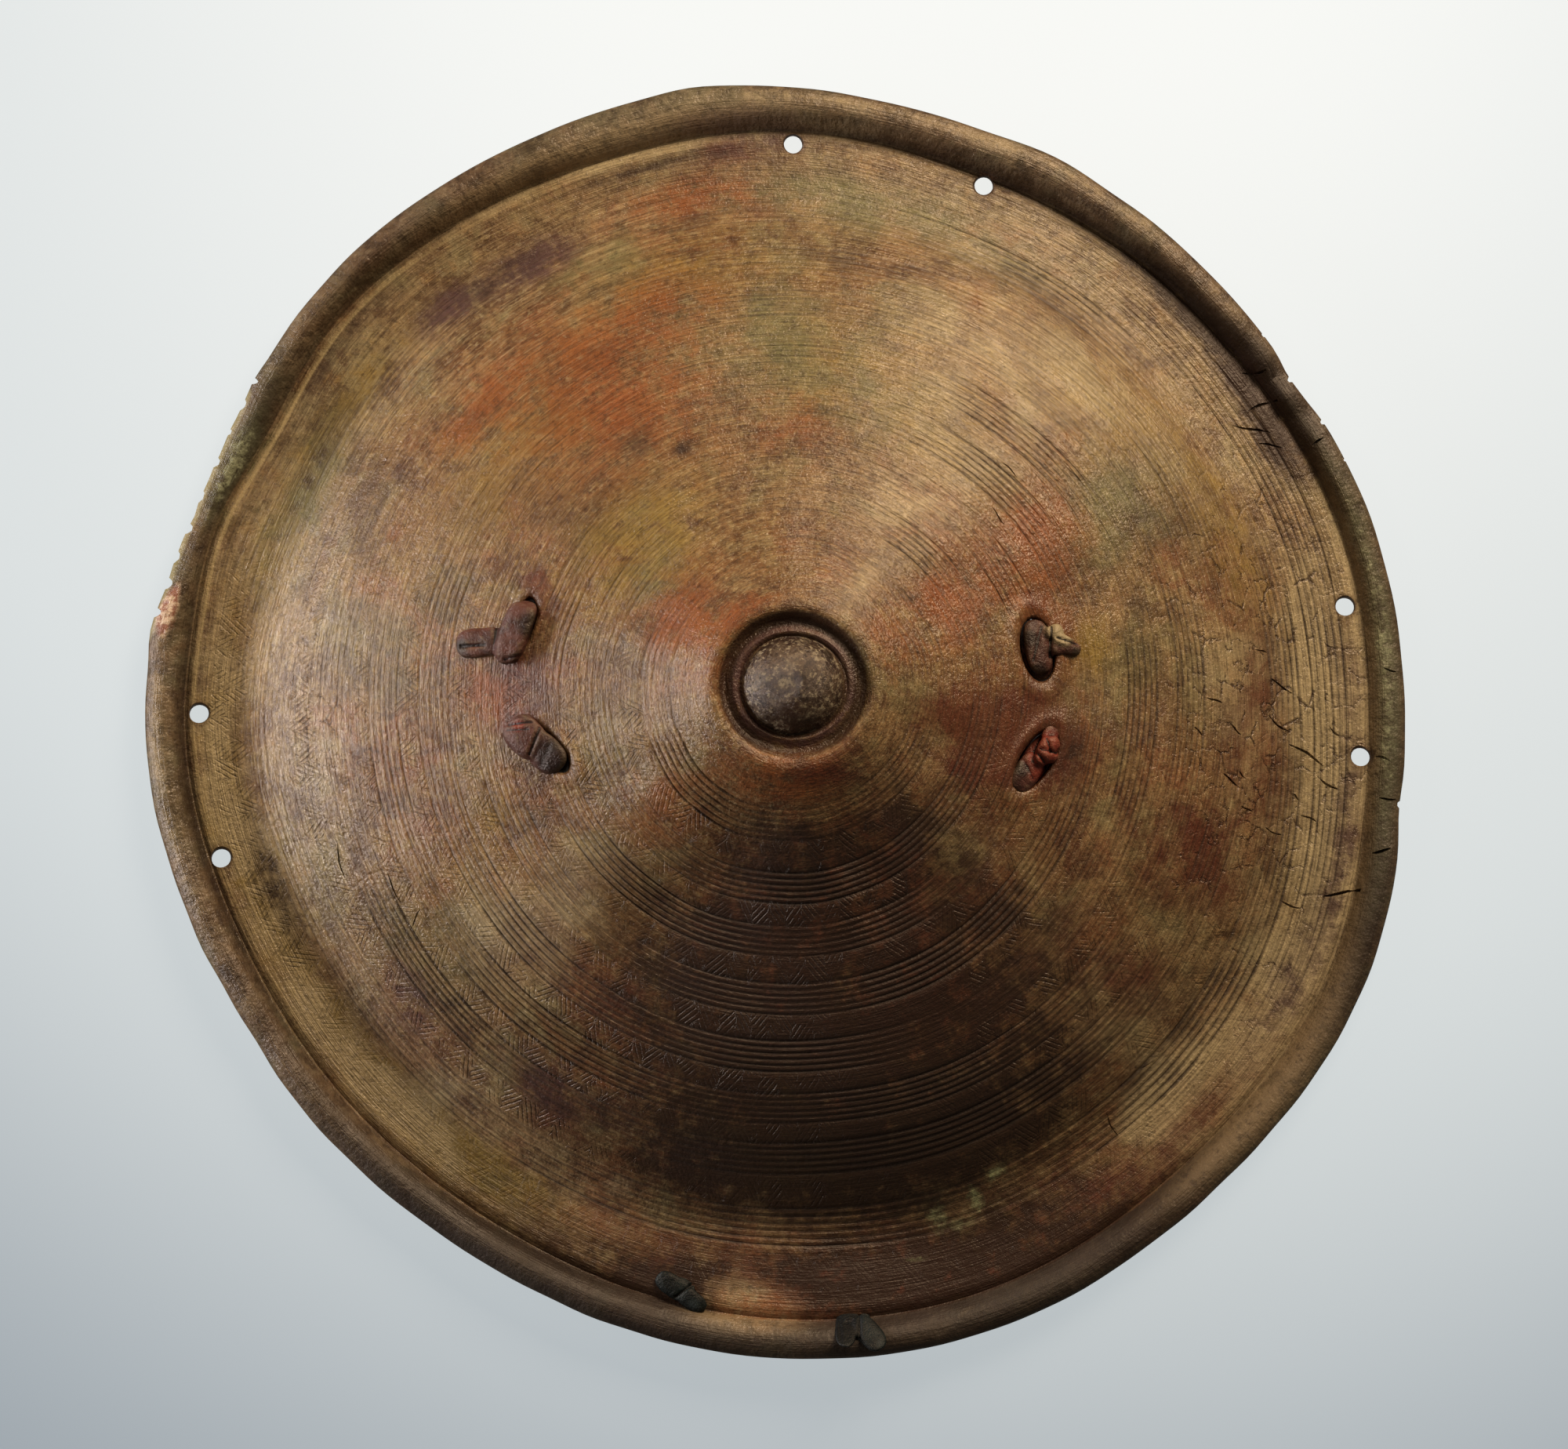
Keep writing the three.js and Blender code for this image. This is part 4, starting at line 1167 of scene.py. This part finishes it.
# Place, length, width, height, turn of each lump, then its lift, tilt and boxiness where they matter.
WADS = [
    # upper left: a thick fold standing on its edge, and a flat tail out to the left
    (-95.4, 22.2, 21.0, 10.6, 4.4, 68, 0.9, 0.05, 0.5), (-93.4, 23.2, 20.5, 8.0, 3.2, 72, -0.3, -0.12, 0.55),
    (-97.6, 15.6, 9, 9, 3.6, 95, 0.5), (-104.5, 19.4, 11, 10.0, 2.5, 4, 0.4),
    (-109.6, 19.0, 12.4, 10.6, 2.6, 2, 0.2),
    # lower left: a dull fold over a shiny one that dives into the slot
    (-91.6, -14.2, 15.5, 12.8, 3.5, -47, 0.6, -0.05, 0.7), (-84.6, -20.2, 15.6, 11.8, 3.5, -46, -0.4, 0.04),
    # upper right: the plug in the slot, and a frayed tail with a pale end
    (85.9, 17.3, 19.5, 9.6, 3.0, 99, -2.5, -0.1), (87.6, 19.5, 14, 5.0, 2.6, 100, -1.6),
    (91.6, 22.4, 6.5, 5.0, 3.0, 25, 0.7), (94.6, 19.4, 8, 4.2, 3.0, -20, 0.9),
    (96.6, 16.9, 9, 5.0, 2.4, -8, 0.5), (92.8, 17.6, 6, 7.0, 2.3, 0, 0.2),
    # lower right: the plug, and a lumpy knob over its upper end
    (81.6, -27.0, 15.5, 9.2, 3.2, 58, -1.9), (83.8, -26.6, 11, 5.4, 3.0, 60, -0.9),
    (88.4, -19.2, 9.5, 7.0, 4.6, 65, 1.3), (90.4, -17.0, 5.4, 5.0, 3.8, 20, 1.8),
    (90.0, -13.6, 7, 6, 2.4, 60, -1.2), (86.6, -21.6, 6.0, 4.8, 3.9, 80, 1.4),
    (90.2, -21.2, 4.6, 4.4, 3.4, 40, 1.0),
]
for settings in WADS:
    wad(raw, *settings)
grip = one_skin("grip_hide", raw, 0.62, 3)

# Fold lines pressed in: from, to, half width, depth, and above which height.
FOLDS = [
    (-114.0, 17.9, -106.0, 18.0, 0.55, 1.3, 50), (-102.4, 13.5, -102.0, 24.0, 0.8, 0.9, 50),
    (-98.6, 12.5, -93.5, 13.5, 0.6, 0.7, 60), (-99.5, 28.0, -98.0, 20.0, 1.2, 0.25, 60),
    (-86.6, -11.6, -90.2, -20.6, 0.6, 1.0, 60), (-97.4, -10.2, -89.4, -9.6, 0.5, 0.8, 60),
    (-97.8, -12.2, -90.6, -12.0, 0.5, 0.5, 60), (-82.5, -16.0, -86.0, -24.5, 0.9, 0.35, 60),
    (90.0, 13.5, 90.5, 24.0, 0.7, 1.4, 55), (92.5, 20.0, 99.5, 18.0, 0.55, 1.1, 55),
    (84.0, 12.0, 87.0, 24.0, 0.7, 0.6, 55), (84.5, -20.0, 88.5, -25.0, 0.7, 1.3, 55),
    (88.2, -15.5, 89.6, -20.0, 0.6, 1.2, 60), (86.0, -19.2, 91.5, -20.3, 0.6, 1.0, 60),
    (80.0, -22.5, 83.5, -29.0, 0.7, 0.5, 55),
]
press(grip, FOLDS)
grip.data.calc_loop_triangles()
print("grip:", len(grip.data.loop_triangles), "triangles")

# %% [markdown]
# ## The thong at the lower edge
#
# A short dark strip lies behind the edge between two slots, and both ends are folded over in front. It is
# the same work at a smaller size.

# %% Thong
raw = bmesh.new()
(ax, ay, *_), (bx, by, *_) = SLOTS["thong_left"], SLOTS["thong_right"]
run = math.degrees(math.atan2(by - ay, bx - ax))
STRIP_HEIGHT, STRIP_THICKNESS = 2.25, 2.3
strip = []
for t in np.linspace(-0.055, 1.055, 12):
    width = 9 - 0.8 * math.sin(9 * t)
    strip.append((ax + (bx - ax) * t, ay + (by - ay) * t, STRIP_HEIGHT, width, STRIP_THICKNESS, run + 90))
strap(raw, strip, 0.6)
for name in ("thong_left", "thong_right"):
    x, y, long, wide, turn = SLOTS[name]
    top = float(front_height(x, y))
    strap(raw, [(x, y, z, long - 0.9, wide - 0.7, turn) for z in (1.6, 5, top - 0.6)], 0.7)
THONG_WADS = [
    # the left end folded over itself, then the right end in two wings
    (-40.4, -202.8, 13.5, 7.6, 1.9, -35, 0.3), (-34.0, -207.6, 12, 6.8, 2.2, -38, 0.6),
    (-37.0, -203.6, 8.5, 7, 1.2, -30, 0.0),
    (20.4, -217.2, 14, 7.8, 2.1, 80, 0.2), (28.2, -219.4, 14, 8.6, 2.4, -50, 0.2, 0.05),
    (24.2, -214.2, 9.5, 7.5, 1.6, 10, 0.2),
]
for settings in THONG_WADS:
    wad(raw, *settings)
thong = one_skin("dark_thong", raw, 0.42, 3)
press(thong, [(-39.6, -206.6, -33.5, -202.2, 0.55, 0.9, 7), (24.6, -226, 25.0, -213, 0.5, 1.0, 7),
              (17.8, -213, 18.2, -222, 0.5, 0.5, 7)])
thong.data.calc_loop_triangles()
print("thong:", len(thong.data.loop_triangles), "triangles")

# %% [markdown]
# ## The finish of the grip and the thong
#
# The grip is hide too, a darker purple brown, with dye and dirt on its knots in front. The thong is
# blackened. Both get the same recipe: two tones that drift into each other, a rubbed paler tone where the
# skin stands proud, and dark folds. How proud a point stands is painted on from the shape itself.

# %% Proud and sunken points
def paint_proud(piece, rounds=6):
    """Compares each point with its smoothed self: above 0.5 it stands proud, below it lies in a fold."""
    bm = bmesh.new()
    bm.from_mesh(piece.data)
    bm.normal_update()
    before = [(vert.co.copy(), vert.normal.copy()) for vert in bm.verts]
    for _ in range(rounds):
        bmesh.ops.smooth_vert(
            bm, verts=bm.verts[:], factor=0.5, use_axis_x=True, use_axis_y=True, use_axis_z=True,
        )
    rise = [(co - vert.co).dot(normal) / MM for (co, normal), vert in zip(before, bm.verts)]
    bm.free()
    paint(piece, "proud", np.clip(0.5 + 2.5 * np.array(rise), 0, 1))


def around(x, y, places):
    """Soft round patches: (x, y, reach)."""
    return sum(np.exp(-(np.hypot(x - px, y - py) / reach) ** 2) for px, py, reach in places)


for piece in (grip, thong):
    paint_proud(piece)
x, y, z = points_of(grip)
in_front = (z > 55).astype(float)
GRIP_SPOTS = {
    # kind: soft round patches (x, y, reach) on the knots in front
    "red": [(88.8, -18.5, 7), (84.5, -25.5, 4), (-94, -10.5, 2.2)],
    "pale": [(91.5, 23.0, 3.4), (95.0, 20.4, 3.2)],
    "dark": [
        (-90.2, 24, 5), (-82, -21.5, 7), (99.5, 15.0, 2.4), (83, 20, 3.4), (86, 8, 4), (80, -26, 3.2),
        (-114, 18, 2.5),
    ],
}
for kind, places in GRIP_SPOTS.items():
    paint(grip, kind, in_front * around(x, y, places))
x, y, z = points_of(thong)
paint(thong, "red", np.zeros(len(x)))
paint(thong, "pale", around(x, y, [(-33.0, -209.4, 2.4), (32.0, -223.0, 1.6)]))
paint(thong, "dark", around(x, y, [(20.5, -218, 6)]))


# %% Worked hide
# Colour of each: two drifting tones, rubbed, dyed, dark; then its roughness and its gloss.
WORKED = {
    "purple_brown_hide": (grip, "#311913", "#4b2a20", "#96815c", "#70281a", "#0f0907", 0.4, 0.32),
    "blackened_thong": (thong, "#090d0c", "#121816", "#1d2321", "#2a1a16", "#050606", 0.5, 0.2),
}


def worked_hide(tree, first, second, pale, red, dark, dull):
    """Handled hide in two drifting tones, with rubbed, dyed and dark parts."""
    here = node(tree, "TexCoord", out=3)
    seen = {layer: node(tree, "Attribute", out=2, attribute_name=layer)
            for layer in ("red", "pale", "dark", "proud")}
    for layer, size in (("drift", 9), ("mottle", 3), ("fine", 0.9)):
        seen[layer] = node(tree, "TexNoise", {"Vector": here, "Scale": per_mm(size), "Detail": 3,
                                              "Roughness": 0.7})
    colour = coats(tree, first, [
        (seen["drift"], 0.38, 0.62, 1.0, second), (seen["mottle"], 0.54, 0.8, 0.25, pale),
        (seen["red"], 0.1, 0.8, 0.75, red), (seen["dark"], 0.1, 0.8, 0.85, dark),
        (seen["pale"], 0.1, 0.9, 0.8, pale), (seen["proud"], 0.6, 0.95, 0.08, pale),
        (seen["proud"], 0.46, 0.2, 0.9, dark),
    ])
    rough = node(tree, "MapRange", {0: seen["mottle"], 1: 0.3, 2: 0.7, 3: dull - 0.08, 4: dull + 0.12})
    return colour, rough, heap(tree, [(seen["mottle"], 0.7), (seen["fine"], 0.3)])


for name, (piece, *tones, gloss) in WORKED.items():
    worked = finish(name, lambda tree: worked_hide(tree, *tones), **(OILED | {"Specular IOR Level": gloss}))
    piece.data.materials.clear()
    piece.data.materials.append(worked)

# %% [markdown]
# ## Onto the imported model
#
# All pieces were made about the boss axis, so their meshes move to its real place in one step; the objects
# stay at the origin. The same step takes a hair off the width, because the ragged edge reaches a tenth of a
# millimetre past the imported model's box. Then each piece is tied to the model: it rides on the one body
# and takes over from its node.

# %% Riding and replacing
HAIR = 0.9994
onto_axis = Matrix.Translation((BOSS_AXIS.x * MM, BOSS_AXIS.y * MM, 0))
onto_model = onto_axis @ Matrix.Diagonal((HAIR, HAIR, 1, 1))
ROLES = [
    (hide, "hide_shell", "moulded_hide"), (grip, "grip_strap", "grip_hide"),
    (thong, "rim_thong", "dark_thong"),
]
for piece, modelled, slot in ROLES:
    piece.data.transform(onto_model)
    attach(piece, "root")
    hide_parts(modelled)
    print(piece.name, "stands for", modelled)

# %% [markdown]
# ## Floor, light and world
#
# The floor is a sheet of pale paper lit from behind, as a still-life photographer uses it: a little glow
# drowns most of the shadow, brightest behind the top and greyer towards the lower left. It glows for the eye
# only and is switched off for bounced light, so that the under-edges stay dark.
#
# One large soft light stands high on the upper right, and a long low one on the left puts the broad sheen on
# the shoulder. A weak one between them lights the top of the boss. A dim world fills the rest.

# %% Floor
paper = bpy.data.materials.new("glowing_paper")
paper.use_nodes = True
tree = paper.node_tree
tree.nodes.clear()
brightest = view_target + Vector((0.06, 0.33, 0))
here = node(tree, "TexCoord", out=3)
away = node(tree, "VectorMath", {0: here, 1: tuple(brightest)}, out=1, operation="DISTANCE")
glow = coats(tree, "#f4f5f2", [(away, 0.1, 0.5, 1.0, "#d4dadb"), (away, 0.42, 0.74, 1.0, "#8b969f")])
sheet = node(tree, "BsdfPrincipled", {
    "Base Color": "#4a4c4e", "Roughness": 1.0, "Specular IOR Level": 0.0, "Emission Color": glow,
    "Emission Strength": 0.92,
})
node(tree, "OutputMaterial", {"Surface": sheet})

bm = bmesh.new()
bmesh.ops.create_grid(bm, x_segments=1, y_segments=1, size=4)
floor = new_object("floor", bm, smooth=False)
floor.data.materials.append(paper)
floor.visible_diffuse = floor.visible_glossy = False

# %% Lights
LIGHTS = {
    # name: direction, height in degrees, distance, width, height, watts, colour
    "key": (60, 36, 2.2, 1.2, 0.9, 81, "#fff2e0"),
    "low_left": (176, 9, 2.0, 1.7, 0.22, 74, "#e9edfb"),
    "upper_left": (150, 34, 2.2, 0.7, 0.5, 7, "#fff0e2"),
}
for name, (direction, climb, distance, wide, tall, watts, tint) in LIGHTS.items():
    lamp = bpy.data.lights.new(name, "AREA")
    lamp.shape, lamp.size, lamp.size_y = "RECTANGLE", wide, tall
    lamp.energy, lamp.color = watts, linear(tint)[:3]
    light = bpy.data.objects.new(name, lamp)
    bpy.context.scene.collection.objects.link(light)
    a, e = math.radians(direction), math.radians(climb)
    light.location = Vector((math.cos(a) * math.cos(e), math.sin(a) * math.cos(e), math.sin(e))) * distance
    light.rotation_euler = (-light.location).to_track_quat("-Z", "Y").to_euler()

world = bpy.data.worlds.new("studio")
world.use_nodes = True
world.node_tree.nodes["Background"].inputs["Color"].default_value = linear("#f3efe8")
world.node_tree.nodes["Background"].inputs["Strength"].default_value = 0.13
bpy.context.scene.world = world
bpy.context.scene.view_settings.view_transform = "Standard"
